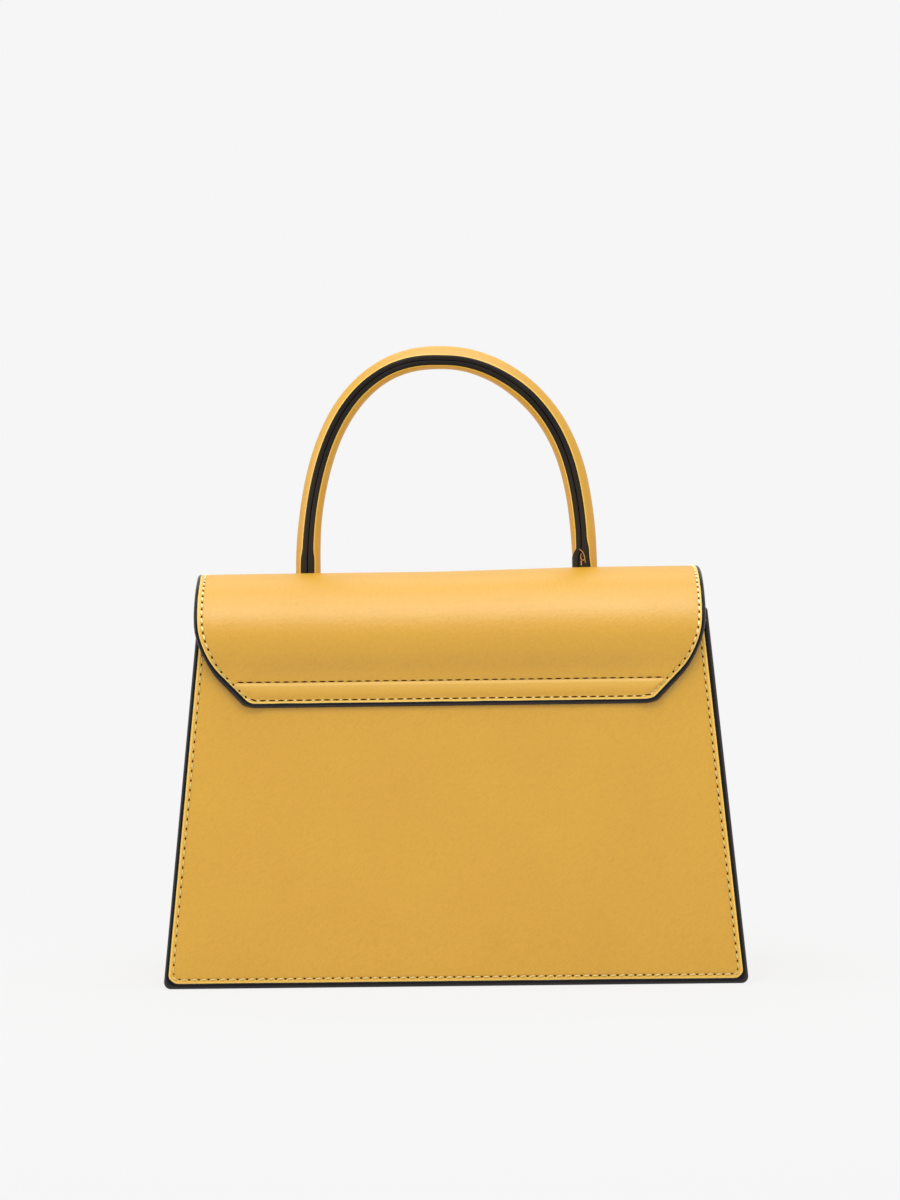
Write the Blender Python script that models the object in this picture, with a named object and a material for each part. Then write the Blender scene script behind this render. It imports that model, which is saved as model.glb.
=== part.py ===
"""Mini bag: a stiff trapezoid hand bag with a rolled top handle and a flap that opens.

Lengths are in metres. +Z is up, the bag's back faces -Y and its front +Y, and +X is to the
right as seen from behind. The origin is the middle of the footprint that the bag stands on.
The bag hangs together as a real one does: cut leather panels with painted edges, gussets
whose turned flanges are sewn behind those edges, boards between leather and lining, and one
long flap that is sewn to the back panel, rolls over the mouth and snaps shut on the front.
"""
import math

import bmesh
import bpy
from mathutils import Matrix, Vector

# Body, over the painted edges.
BODY_WIDTH = 0.2541
BODY_TOP_WIDTH = 0.2226
BODY_DEPTH = 0.096
BODY_TOP_DEPTH = 0.072
BODY_HEIGHT = 0.163
BODY_CORNER = 0.003

# Layers, from the outside inwards, and the clearance that every neighbour keeps.
LEATHER = 0.0014
BOARD = 0.0010
LINING = 0.0005
GAP = 0.0003

# The painted bead along every cut edge: its width and its section as shares of width and
# thickness. The middle facet is flat, so the bag stands on a real face.
BEAD = 0.0019
BEAD_SECTION_SHARES = ((0, 0), (0.55, 0.05), (1, 0.33), (1, 0.67), (0.55, 0.95), (0, 1))

# Gussets and base.
FLANGE = 0.008
BASE_RISE = 0.006
BASE_BOARD = 0.0015

# Flap, as its outside surface is seen from the side. Its heights hang from the body's rim.
FLAP_WIDTH = 0.2216
TAIL_EDGE_DROP = 0.0411
TAIL_SEAM_DROP = 0.0302
WIDEST_DROP = 0.0130
SHOULDER_DROP = 0.0050
RIDGE_RISE = 0.0174
ROLL_PROUD = 0.0037
RIDGE_FLAT = 0.016
FLAP_EDGE_DROP = 0.0705
SEAM_LIFT = 0.006
WIDEST_LIFT = 0.008

# Flap outline, measured flat: the slanted corner, the straight stretch that its round leaves
# under the hinge, and the radius at the sewn or free edge.
CHAMFER_ACROSS = 0.0227
CHAMFER_ALONG = 0.0229
SIDE_STRAIGHT = 0.0015
CHAMFER_EDGE_RADIUS = 0.015

# Handle: a rolled sleeve round a core, with its two painted edges meeting at the back.
HANDLE_SPREAD = 0.1251
HANDLE_RISE = 0.0958
HANDLE_EXPONENT = 2.27
HANDLE_LEAN = 0.0031
HANDLE_LEAN_POWER = 5
SLEEVE_RADIUS = 0.0055
SLEEVE_FLAT = 0.0047
BORE_RADIUS = 0.0039
CORE_STOP = 0.014
SEAM_BAR_WIDTH = 0.0021
SEAM_BAR_THICK = 0.0011
SEAM_INSET = 0.00075

# Handle tabs: the sleeve's flat ends, through slots in the flap and turned under its board.
TAB_WIDTH = 0.0100
TAB_THICK = 0.0018
TAB_REACH = 0.024
TAB_RISE = 0.010
RIVET_REACH = 0.016
RIVET_SHANK = 0.0015
RIVET_HEAD = 0.0032
RIVET_HEAD_THICK = 0.0006
LINING_DROP_FADE = 0.018

# Magnetic snap under the front of the flap.
SNAP_DROP = 0.0565
SNAP_RADIUS = 0.0085
SOCKET_THICK = 0.0013
SOCKET_RECESS_RADIUS = 0.0052
SOCKET_RECESS = 0.0010
STUD_THICK = 0.0011
STUD_BOSS_RADIUS = 0.0030
STUD_BOSS = 0.0007
WASHER_RADIUS = 0.0075
PRONG_OUT = 0.0040
PRONG_WIDTH = 0.0040
PRONG_THICK = 0.00035
PRONG_FOLD = 0.0028

# Smoothness: steps of the curves, and the angles up to which faces shade as one surface.
FLAT_SMOOTH = 35
BENT_SMOOTH = 50
ARC_STEPS = 5
FADE_CUTS = 2
ROLL_STEPS = 10
HINGE_STEP = 2
CIRCLE_STEPS = 20
SLEEVE_SIDES = 14
CORE_SIDES = 10
HANDLE_STEPS = 36

# One overrun serves all cuts, and points closer than the merge distance are one.
OVERRUN = 0.004
MERGE = 0.00001

BACK = -1
FRONT = 1

# Worked out once from the sizes above.
TAIL_EDGE_Z = BODY_HEIGHT - TAIL_EDGE_DROP
TAIL_SEAM_Z = BODY_HEIGHT - TAIL_SEAM_DROP
WIDEST_Z = BODY_HEIGHT - WIDEST_DROP
SHOULDER_Z = BODY_HEIGHT - SHOULDER_DROP
RIDGE_Z = BODY_HEIGHT + RIDGE_RISE
FLAP_EDGE_Z = BODY_HEIGHT - FLAP_EDGE_DROP
SNAP_Z = BODY_HEIGHT - SNAP_DROP
LINING_DEPTH = LEATHER + GAP + BOARD + GAP
FLAP_THICK = LINING_DEPTH + LINING
PANEL_EDGE_THICK = LEATHER + GAP + LEATHER
EDGE_INSET = BEAD + GAP
BASE_TOP = BASE_RISE + LEATHER
TAB_DEPTH = LINING_DEPTH
TAB_LOW = TAB_DEPTH + TAB_THICK
LINING_DROP = TAB_THICK + GAP + RIVET_HEAD_THICK + GAP
LINING_DROP_HALF = HANDLE_SPREAD / 2 + TAB_REACH + GAP + LINING_DROP_FADE
WASHER_THICK = BOARD - PRONG_THICK - GAP
SNAP_ROOM = GAP + SOCKET_THICK + GAP + STUD_THICK + GAP

COLOURS = {
    "leather": ((0.70, 0.39, 0.058, 1), 0.42, 0.0),
    "edge_paint": ((0.018, 0.018, 0.021, 1), 0.25, 0.0),
    "lining": ((0.30, 0.22, 0.14, 1), 0.85, 0.0),
    "board": ((0.23, 0.20, 0.17, 1), 0.80, 0.0),
    "core": ((0.62, 0.58, 0.50, 1), 0.90, 0.0),
    "snap_metal": ((0.80, 0.62, 0.30, 1), 0.25, 1.0),
}


def clear_scene():
    """Start from an empty scene."""
    for item in list(bpy.data.objects):
        bpy.data.objects.remove(item, do_unlink=True)


def material(name):
    """The named finish, made the first time that a piece asks for it."""
    if name in bpy.data.materials:
        return bpy.data.materials[name]
    colour, roughness, metallic = COLOURS[name]
    made = bpy.data.materials.new(name)
    made.use_nodes = True
    shader = made.node_tree.nodes["Principled BSDF"]
    shader.inputs["Base Color"].default_value = colour
    shader.inputs["Roughness"].default_value = roughness
    shader.inputs["Metallic"].default_value = metallic
    return made


def turn_out(mesh):
    """Turn every face over if the mesh is inside out."""
    if mesh.calc_volume(signed=True) < 0:
        bmesh.ops.reverse_faces(mesh, faces=mesh.faces)
    return mesh


def finish(mesh, name, finish_name, smooth_angle=FLAT_SMOOTH):
    """Turn a bmesh into a named object with its faces out and its material on."""
    turn_out(mesh)
    data = bpy.data.meshes.new(name)
    mesh.to_mesh(data)
    mesh.free()
    data.shade_smooth()
    data.set_sharp_from_angle(angle=math.radians(smooth_angle))
    data.materials.append(material(finish_name))
    piece = bpy.data.objects.new(name, data)
    bpy.context.scene.collection.objects.link(piece)
    return piece


def as_cutter(piece):
    """Keep a helper solid out of the model."""
    piece.hide_render = True
    piece.display_type = "WIRE"
    return piece


def combine(piece, other, operation):
    """Cut, or join, one solid with another."""
    as_cutter(other)
    step = piece.modifiers.new(other.name, "BOOLEAN")
    step.operation = operation
    step.solver = "EXACT"
    step.object = other
    return piece


def loft(rings, closed=False):
    """A bmesh through a row of like rings: the first is filled and pulled on from ring to ring."""
    mesh = bmesh.new()
    first = mesh.faces.new([mesh.verts.new(point) for point in rings[0]])
    face = first
    for ring in rings[1:]:
        made = bmesh.ops.extrude_face_region(mesh, geom=[face])["geom"]
        if face is not first:
            bmesh.ops.delete(mesh, geom=[face], context="FACES_ONLY")
        face = next(item for item in made if isinstance(item, bmesh.types.BMFace))
        for vertex, point in zip(face.verts, ring):
            vertex.co = point
    if closed:
        bmesh.ops.delete(mesh, geom=[first, face], context="FACES_ONLY")
        bmesh.ops.remove_doubles(mesh, verts=mesh.verts, dist=MERGE)
    bmesh.ops.recalc_face_normals(mesh, faces=mesh.faces)
    return turn_out(mesh)


def place_all(mesh, place, cuts=()):
    """Slice a flat bmesh at the given lengths and send each point to its place."""
    for length in cuts:
        everything = mesh.verts[:] + mesh.edges[:] + mesh.faces[:]
        bmesh.ops.bisect_plane(mesh, geom=everything, plane_co=(0, length, 0), plane_no=(0, 1, 0))
    for vertex in mesh.verts:
        vertex.co = place(*vertex.co)
    return mesh


def flat_ring(outline, depth):
    """An outline of (across, along) points at one depth."""
    return [Vector((across, along, depth)) for across, along in outline]


def plate(outline, start, end):
    """A flat bmesh plate over an outline, between two depths."""
    return loft([flat_ring(outline, start), flat_ring(outline, end)])


def rounded(corners):
    """An outline through corners given as (across, along, radius)."""
    points = []
    for index, (across, along, radius) in enumerate(corners):
        corner = Vector((across, along))
        if radius == 0:
            points.append(corner)
            continue
        before = (Vector(corners[index - 1][:2]) - corner).normalized()
        after = (Vector(corners[(index + 1) % len(corners)][:2]) - corner).normalized()
        half = before.angle(after) / 2
        centre = corner + (before + after).normalized() * (radius / math.sin(half))
        start = corner + before * (radius / math.tan(half)) - centre
        end = corner + after * (radius / math.tan(half)) - centre
        turn = math.copysign(start.angle(end), start.x * end.y - start.y * end.x)
        for step in range(ARC_STEPS + 1):
            points.append(centre + Matrix.Rotation(turn * step / ARC_STEPS, 2) @ start)
    return points


def inset(outline, distance, closed):
    """The outline moved inwards by a distance; its inside lies to the left of its run."""
    moved = []
    last = len(outline) - 1
    for index, point in enumerate(outline):
        behind = point - outline[index - 1] if closed or index > 0 else None
        ahead = outline[(index + 1) % len(outline)] - point if closed or index < last else None
        sides = [edge.normalized().orthogonal() for edge in (behind, ahead) if edge is not None]
        middle = sum(sides, Vector((0, 0))).normalized()
        moved.append(point + middle * (distance / middle.dot(sides[0])))
    return moved


def bead(outline, thickness, closed):
    """A bmesh of the painted edge, swept along an outline and lying inside it."""
    tracks = [inset(outline, BEAD * (1 - share), closed) for share, _ in BEAD_SECTION_SHARES]
    rings = []
    for index in range(len(outline)):
        ring = []
        for track, (_, deep) in zip(tracks, BEAD_SECTION_SHARES):
            ring.append(Vector((track[index].x, track[index].y, deep * thickness)))
        rings.append(ring)
    if closed:
        rings.append(rings[0])
    return loft(rings, closed)


def circle(radius, along=0, across=0):
    """A round outline about a point."""
    turns = [math.tau * step / CIRCLE_STEPS for step in range(CIRCLE_STEPS)]
    return [Vector((across + radius * math.cos(turn), along + radius * math.sin(turn))) for turn in turns]


def turned(profile, along=0, across=0):
    """A bmesh of a round piece from (radius, depth) steps."""
    return loft([flat_ring(circle(radius, along, across), depth) for radius, depth in profile])


def block(low, high):
    """A bmesh box between two corners."""
    outline = [(low[0], low[1]), (high[0], low[1]), (high[0], high[1]), (low[0], high[1])]
    return plate(outline, low[2], high[2])


# The body's own surface.


def half_width(z):
    """Half the body's width at a height."""
    return (BODY_WIDTH - (BODY_WIDTH - BODY_TOP_WIDTH) * z / BODY_HEIGHT) / 2


def half_depth(z):
    """Half the body's depth at a height."""
    return (BODY_DEPTH - (BODY_DEPTH - BODY_TOP_DEPTH) * z / BODY_HEIGHT) / 2


def wall_inside(z):
    """How far from the middle the gusset wall's inner face is at a height."""
    return half_width(z) - FLANGE - LEATHER


def on_panel(side):
    """A place on the back or front panel: across, height and depth below its outer face."""
    return lambda x, z, depth: Vector((x, side * (half_depth(z) - depth), z))


def panel_outline():
    """The panel's trapezoid, over the painted edge."""
    low = half_width(0)
    high = half_width(BODY_HEIGHT)
    return rounded([
        (-low, 0, BODY_CORNER),
        (low, 0, BODY_CORNER),
        (high, BODY_HEIGHT, BODY_CORNER),
        (-high, BODY_HEIGHT, BODY_CORNER),
    ])


def build_panel(side, word):
    """One face of the body: its leather, its board and its painted edge."""
    place = on_panel(side)
    skin = inset(panel_outline(), EDGE_INSET, True)
    leather = finish(place_all(plate(skin, 0, LEATHER), place), word + "_panel", "leather")
    low = BASE_TOP + GAP
    high = BODY_HEIGHT - EDGE_INSET
    low_half = wall_inside(low) - GAP
    high_half = wall_inside(high) - GAP
    outline = [(-low_half, low), (low_half, low), (high_half, high), (-high_half, high)]
    start = LEATHER + GAP
    board = finish(place_all(plate(outline, start, start + BOARD), place), word + "_board", "board")
    edge = bead(panel_outline(), PANEL_EDGE_THICK, True)
    finish(place_all(edge, place), word + "_edge", "edge_paint")
    return leather, board


def build_gusset(side, word):
    """A side wall set in from the edges, with a flange turned outwards at its back and front."""
    rings = []
    for z in (BASE_TOP + GAP, BODY_HEIGHT - EDGE_INSET):
        edge = side * (half_width(z) - EDGE_INSET)
        outside = side * (half_width(z) - FLANGE)
        inside = side * wall_inside(z)
        outer = half_depth(z) - LEATHER - GAP
        inner = outer - LEATHER
        rings.append([
            (edge, -outer, z),
            (edge, -inner, z),
            (outside, -inner, z),
            (outside, inner, z),
            (edge, inner, z),
            (edge, outer, z),
            (inside, outer, z),
            (inside, -outer, z),
        ])
    finish(loft(rings), "side_gusset_" + word, "leather")


def build_base():
    """The bag's bottom, set up from the edges, with its flanges turned down, and its board."""
    reach = half_width(BASE_TOP) - EDGE_INSET
    low = EDGE_INSET
    rings = []
    for x in (-reach, reach):
        ring = []
        for side, z, depth in (
            (BACK, low, LEATHER + GAP), (BACK, BASE_TOP, LEATHER + GAP),
            (FRONT, BASE_TOP, LEATHER + GAP), (FRONT, low, LEATHER + GAP),
            (FRONT, low, PANEL_EDGE_THICK), (FRONT, BASE_RISE, PANEL_EDGE_THICK),
            (BACK, BASE_RISE, PANEL_EDGE_THICK), (BACK, low, PANEL_EDGE_THICK),
        ):
            ring.append(on_panel(side)(x, z, depth))
        rings.append(ring)
    finish(loft(rings), "base_panel", "leather")
    rings = []
    for z in (BASE_TOP + GAP, BASE_TOP + GAP + BASE_BOARD):
        rings.append(body_ring(z, GAP, LINING_DEPTH))
    finish(loft(rings), "base_board", "board")


def body_ring(z, from_wall, from_face):
    """A level rectangle inside the body, by its distance from the gusset walls and the faces."""
    x = wall_inside(z) - from_wall
    y = half_depth(z) - from_face
    return [(-x, -y, z), (x, -y, z), (x, y, z), (-x, y, z)]


def build_lining():
    """The sewn lining: an open box that hangs inside the boards and the gusset walls."""
    floor = BASE_TOP + GAP + BASE_BOARD + GAP
    rim = BODY_HEIGHT - EDGE_INSET
    finish(loft([
        body_ring(floor, GAP, LINING_DEPTH),
        body_ring(rim, GAP, LINING_DEPTH),
        body_ring(rim, GAP + LINING, FLAP_THICK),
        body_ring(floor + LINING, GAP + LINING, FLAP_THICK),
    ]), "lining_bag", "lining")


# The flap's own surface: a line seen from the side, swept across the bag.


def flap_line():
    """The flap's outer face from its sewn tail edge over the ridge to its front edge."""
    off_panel = GAP + FLAP_THICK
    tail = Vector((-half_depth(TAIL_EDGE_Z) - off_panel, TAIL_EDGE_Z))
    seam = Vector((-half_depth(TAIL_SEAM_Z) - off_panel, TAIL_SEAM_Z))
    back_reach = half_depth(WIDEST_Z) + off_panel + ROLL_PROUD
    widest = Vector((-back_reach, WIDEST_Z))
    up_panel = (seam - tail).normalized()
    pull_low = seam + up_panel * SEAM_LIFT
    pull_high = widest - Vector((0, WIDEST_LIFT))
    points = [tail]
    for step in range(ROLL_STEPS):
        t = step / ROLL_STEPS
        points.append((1 - t) ** 3 * seam + 3 * (1 - t) ** 2 * t * pull_low
                      + 3 * (1 - t) * t ** 2 * pull_high + t ** 3 * widest)
    widest_index = len(points)
    front_room = SNAP_ROOM + FLAP_THICK
    front_reach = half_depth(SHOULDER_Z) + front_room
    for side, start_z, outermost in ((BACK, WIDEST_Z, back_reach), (FRONT, SHOULDER_Z, front_reach)):
        reach = outermost - RIDGE_FLAT / 2
        for step in range(ROLL_STEPS + 1):
            turn = math.pi / 2 * (step if side == BACK else ROLL_STEPS - step) / ROLL_STEPS
            points.append(Vector((
                side * (RIDGE_FLAT / 2 + reach * math.cos(turn)),
                start_z + (RIDGE_Z - start_z) * math.sin(turn),
            )))
    points.append(Vector((half_depth(FLAP_EDGE_Z) + front_room, FLAP_EDGE_Z)))
    return points, widest_index


LINE, WIDEST_INDEX = flap_line()
HINGE_INDEX = WIDEST_INDEX + HINGE_STEP
LENGTHS = [0.0]
for start_point, end_point in zip(LINE, LINE[1:]):
    LENGTHS.append(LENGTHS[-1] + (end_point - start_point).length)
HINGE_LENGTH = LENGTHS[HINGE_INDEX]
FLAP_LENGTH = LENGTHS[-1]
RIDGE_START = WIDEST_INDEX + ROLL_STEPS
RIDGE_LENGTH = (LENGTHS[RIDGE_START] + LENGTHS[RIDGE_START + 1]) / 2
CHAMFER_TURN = math.atan2(CHAMFER_ACROSS, CHAMFER_ALONG)
CHAMFER_SIDE_RADIUS = (HINGE_LENGTH - SIDE_STRAIGHT - CHAMFER_ALONG) / math.tan(CHAMFER_TURN / 2)


def line_normal(index):
    """The outward normal at a point of the flap line."""
    run = LINE[min(index + 1, len(LINE) - 1)] - LINE[max(index - 1, 0)]
    return Vector((-run.y, run.x)).normalized()


def on_flap(x, length, depth):
    """A place on the flap: across, along its line, and depth below its outer face."""
    index = 0
    while index < len(LINE) - 2 and LENGTHS[index + 1] < length:
        index += 1
    share = (length - LENGTHS[index]) / (LENGTHS[index + 1] - LENGTHS[index])
    point = LINE[index].lerp(LINE[index + 1], share)
    normal = line_normal(index).lerp(line_normal(index + 1), share).normalized()
    spot = point - normal * depth
    return Vector((x, spot.x, spot.y))


def fade(value, start, end):
    """A smooth step from nought at start to one at end."""
    share = min(max((value - start) / (end - start), 0), 1)
    return share * share * (3 - 2 * share)


def on_flap_lining(x, length, depth):
    """As on_flap, but hanging lower under the ridge, round the handle's tabs."""
    across = 1 - fade(abs(x), LINING_DROP_HALF - LINING_DROP_FADE, LINING_DROP_HALF)
    along = 1 - fade(abs(length - RIDGE_LENGTH), RIDGE_FLAT / 2, RIDGE_FLAT / 2 + LINING_DROP_FADE)
    return on_flap(x, length, depth + LINING_DROP * across * along)


def end_outline(edge, towards, split):
    """Half of the flap's outline: from the split round one sewn or free edge and back."""
    half = FLAP_WIDTH / 2
    corners = [
        (-half, split, 0),
        (-half, edge + towards * CHAMFER_ALONG, CHAMFER_SIDE_RADIUS),
        (-half + CHAMFER_ACROSS, edge, CHAMFER_EDGE_RADIUS),
        (half - CHAMFER_ACROSS, edge, CHAMFER_EDGE_RADIUS),
        (half, edge + towards * CHAMFER_ALONG, CHAMFER_SIDE_RADIUS),
        (half, split, 0),
    ]
    outline = rounded(corners)
    return outline if towards == FRONT else outline[::-1]


TAIL_OUTLINE = end_outline(0, FRONT, HINGE_LENGTH - GAP / 2)
COVER_OUTLINE = end_outline(FLAP_LENGTH, BACK, HINGE_LENGTH + GAP / 2)


def build_flap_part(outline, layers, edge_name, edge_thick):
    """Bent sheets of one outline, one for each layer, and the painted edge round them."""
    made = {}
    inner = inset(outline, EDGE_INSET, False)
    for name, finish_name, start, thick, place in layers:
        sheet = place_all(plate(inner, start, start + thick), place, LENGTHS)
        made[name] = finish(sheet, name, finish_name, BENT_SMOOTH)
    edge = place_all(bead(outline, edge_thick, False), on_flap, LENGTHS)
    finish(edge, edge_name, "edge_paint", BENT_SMOOTH)
    return made


def build_flap():
    """The tail that is sewn to the back panel, and the cover that opens."""
    under = LEATHER + GAP
    build_flap_part(TAIL_OUTLINE, (
        ("flap_tail", "leather", 0, LEATHER, on_flap),
        ("flap_tail_backing", "leather", under, FLAP_THICK - under, on_flap),
    ), "flap_tail_edge", FLAP_THICK)
    made = build_flap_part(COVER_OUTLINE, (
        ("flap_cover", "leather", 0, LEATHER, on_flap),
        ("flap_board", "board", under, BOARD, on_flap),
    ), "flap_edge", FLAP_THICK)
    lining = plate(inset(COVER_OUTLINE, EDGE_INSET, False), LINING_DEPTH, FLAP_THICK)
    for side in (-1, 1):
        for part in range(FADE_CUTS + 1):
            across = side * (LINING_DROP_HALF - LINING_DROP_FADE * part / FADE_CUTS)
            everything = lining.verts[:] + lining.edges[:] + lining.faces[:]
            bmesh.ops.bisect_plane(lining, geom=everything, plane_co=(across, 0, 0), plane_no=(1, 0, 0))
    made["flap_lining"] = finish(place_all(lining, on_flap_lining, LENGTHS), "flap_lining", "lining", BENT_SMOOTH)
    return made


# The handle.


def handle_spot(angle):
    """The middle of the roll: a squarish arch whose top leans a little."""
    power = 2 / HANDLE_EXPONENT
    across = math.copysign(abs(math.cos(angle)) ** power, math.cos(angle))
    rise = math.sin(angle) ** power if math.sin(angle) > 0 else 0
    x = HANDLE_SPREAD / 2 * across - HANDLE_LEAN * rise ** HANDLE_LEAN_POWER
    return Vector((x, 0, RIDGE_Z + GAP + HANDLE_RISE * rise))


def handle_rings(section, stop=0):
    """Rings of (outwards, along Y) points along the arch, less a stretch at each foot."""
    rings = []
    for step in range(HANDLE_STEPS + 1):
        angle = math.pi * step / HANDLE_STEPS
        spot = handle_spot(angle)
        if spot.z < RIDGE_Z + GAP + stop - MERGE:
            continue
        low = handle_spot(math.pi * max(step - 1, 0) / HANDLE_STEPS)
        high = handle_spot(math.pi * min(step + 1, HANDLE_STEPS) / HANDLE_STEPS)
        run = (high - low).normalized() if 0 < step < HANDLE_STEPS else Vector((0, 0, 1 if step == 0 else -1))
        outwards = Vector((run.z, 0, -run.x))
        rings.append([spot + outwards * across + Vector((0, y, 0)) for across, y in section])
    return rings


def round_section(radius, sides, flat=None):
    """A round section, cut flat towards the back where asked."""
    points = []
    for step in range(sides):
        turn = math.tau * (step + 0.5) / sides
        y = radius * math.sin(turn)
        points.append((radius * math.cos(turn), y if flat is None else max(y, -flat)))
    return points


def build_handle():
    """The rolled sleeve with its flat tabs, the core inside it and the two painted edges."""
    sleeve = finish(loft(handle_rings(round_section(SLEEVE_RADIUS, SLEEVE_SIDES, SLEEVE_FLAT))),
                    "handle_sleeve", "leather", BENT_SMOOTH)
    foot = RIDGE_Z + GAP
    bore_rings = handle_rings(round_section(BORE_RADIUS, CORE_SIDES))
    down = Vector((0, 0, -OVERRUN))
    bore_rings = [[p + down for p in bore_rings[0]]] + bore_rings + [[p + down for p in bore_rings[-1]]]
    combine(sleeve, finish(loft(bore_rings), "cut_handle_bore", "leather"), "DIFFERENCE")
    core_radius = BORE_RADIUS - GAP
    finish(loft(handle_rings(round_section(core_radius, CORE_SIDES), CORE_STOP)), "handle_core", "core", BENT_SMOOTH)
    for side, word in ((-1, "left"), (1, "right")):
        tab = finish(tab_mesh(side, foot), "join_tab_" + word, "leather")
        combine(sleeve, tab, "UNION")
    for side, word in ((-1, "inner"), (1, "outer")):
        near = side * GAP / 2 - SEAM_INSET
        far = near + side * SEAM_BAR_WIDTH
        low = -SLEEVE_FLAT - GAP
        section = [(near, low), (far, low), (far, low - SEAM_BAR_THICK), (near, low - SEAM_BAR_THICK)]
        finish(loft(handle_rings(section)), "handle_seam_" + word, "edge_paint", BENT_SMOOTH)
    return sleeve


def add_mesh(target, extra):
    """Put one bmesh's solids into another."""
    data = bpy.data.meshes.new("passing")
    extra.to_mesh(data)
    extra.free()
    target.from_mesh(data)
    bpy.data.meshes.remove(data)


def tab_mesh(side, foot):
    """A strip down from the sleeve's end through the flap, then turned outwards under the board."""
    x = side * HANDLE_SPREAD / 2
    near = x - side * TAB_THICK / 2
    far = x + side * TAB_THICK / 2
    end = x + side * TAB_REACH
    top = foot + TAB_RISE
    under = RIDGE_Z - TAB_DEPTH
    low = RIDGE_Z - TAB_LOW
    corners = [(near, top), (near, low), (end, low), (end, under), (far, under), (far, top)]
    return loft([[(across, y, z) for across, z in corners] for y in (-TAB_WIDTH / 2, TAB_WIDTH / 2)])


def rivet_pair(profile):
    """The same round profile, as (radius, height), at both handle tabs."""
    both = bmesh.new()
    for side in (-1, 1):
        add_mesh(both, turned(profile, 0, side * (HANDLE_SPREAD / 2 + RIVET_REACH)))
    return both


def build_rivets(board, sleeve):
    """Rivets through the board and the handle's tabs, their upper heads sunk in the board."""
    board_top = RIDGE_Z - LEATHER - GAP
    sink = board_top - RIVET_HEAD_THICK
    low = RIDGE_Z - TAB_LOW - GAP
    profile = (
        (RIVET_HEAD, board_top), (RIVET_HEAD, sink), (RIVET_SHANK, sink),
        (RIVET_SHANK, low), (RIVET_HEAD, low), (RIVET_HEAD, low - RIVET_HEAD_THICK),
    )
    for side, word in ((-1, "left"), (1, "right")):
        rivet = turned(profile, 0, side * (HANDLE_SPREAD / 2 + RIVET_REACH))
        finish(rivet, "tab_rivet_" + word, "snap_metal")
    hole = RIVET_SHANK + GAP
    holes = finish(rivet_pair(((hole, board_top + OVERRUN), (hole, low - OVERRUN))), "cut_rivets", "board")
    wide = RIVET_HEAD + GAP
    sinks = finish(rivet_pair(((wide, board_top + OVERRUN), (wide, sink - GAP))), "cut_rivet_heads", "board")
    combine(board, holes, "DIFFERENCE")
    combine(board, sinks, "DIFFERENCE")
    combine(sleeve, holes, "DIFFERENCE")


def build_slots(cover, board):
    """Slots through the flap's leather and board for the handle's tabs."""
    slots = bmesh.new()
    for side in (-1, 1):
        x = side * HANDLE_SPREAD / 2
        half = TAB_THICK / 2 + GAP
        width = TAB_WIDTH / 2 + GAP
        low = (x - half, -width, RIDGE_Z - TAB_DEPTH - OVERRUN)
        high = (x + half, width, RIDGE_Z + OVERRUN)
        add_mesh(slots, block(low, high))
    cutter = finish(slots, "cut_tab_slots", "leather")
    combine(cover, cutter, "DIFFERENCE")
    combine(board, cutter, "DIFFERENCE")


# The magnetic snap.


def prongs(along, base, tip, fold_depth):
    """Two prongs from a cap at depth base, each folded outwards between tip and fold_depth."""
    both = bmesh.new()
    for side in (-1, 1):
        inner = side * PRONG_OUT
        outer = side * (PRONG_OUT + PRONG_THICK)
        end = side * (PRONG_OUT + PRONG_FOLD)
        corners = [(inner, base), (inner, tip), (end, tip), (end, fold_depth), (outer, fold_depth), (outer, base)]
        rings = []
        for half in (-PRONG_WIDTH / 2, PRONG_WIDTH / 2):
            rings.append([Vector((across, along + half, depth)) for across, depth in corners])
        add_mesh(both, loft(rings))
    return both


def slits(along, start, end):
    """Room for the two prongs through a layer."""
    both = bmesh.new()
    for side in (-1, 1):
        middle = side * (PRONG_OUT + PRONG_THICK / 2)
        half = PRONG_THICK / 2 + GAP
        width = PRONG_WIDTH / 2 + GAP
        add_mesh(both, block((middle - half, along - width, start), (middle + half, along + width, end)))
    return both


def build_snap_half(name, place, along, cap, fixed_to, board, reach_in):
    """A cap, its prongs through a layer, and the washer that they are folded over.

    reach_in is the direction from the cap into the layers, and the depths run the same way.
    """
    near, far, fold = reach_in
    body = finish(place_all(turned(cap, along), place), name, "snap_metal")
    cap_base = cap[0][1]
    inwards = math.copysign(1, fold - near)
    step = inwards * PRONG_THICK
    legs = finish(place_all(prongs(along, cap_base - step, fold, fold - step), place),
                  "join_" + name + "_prongs", "snap_metal")
    combine(body, legs, "UNION")
    washer = finish(place_all(turned(((WASHER_RADIUS, near), (WASHER_RADIUS, far)), along), place),
                    name + "_washer", "snap_metal")
    start = near - inwards * OVERRUN
    end = far + inwards * OVERRUN
    cutter = finish(place_all(slits(along, start, end), place), "cut_" + name + "_slits", "leather")
    combine(washer, cutter, "DIFFERENCE")
    combine(fixed_to, cutter, "DIFFERENCE")
    hole = turned(((WASHER_RADIUS + GAP, start), (WASHER_RADIUS + GAP, end)), along)
    combine(board, finish(place_all(hole, place), "cut_" + name + "_hole", "board"), "DIFFERENCE")


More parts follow.
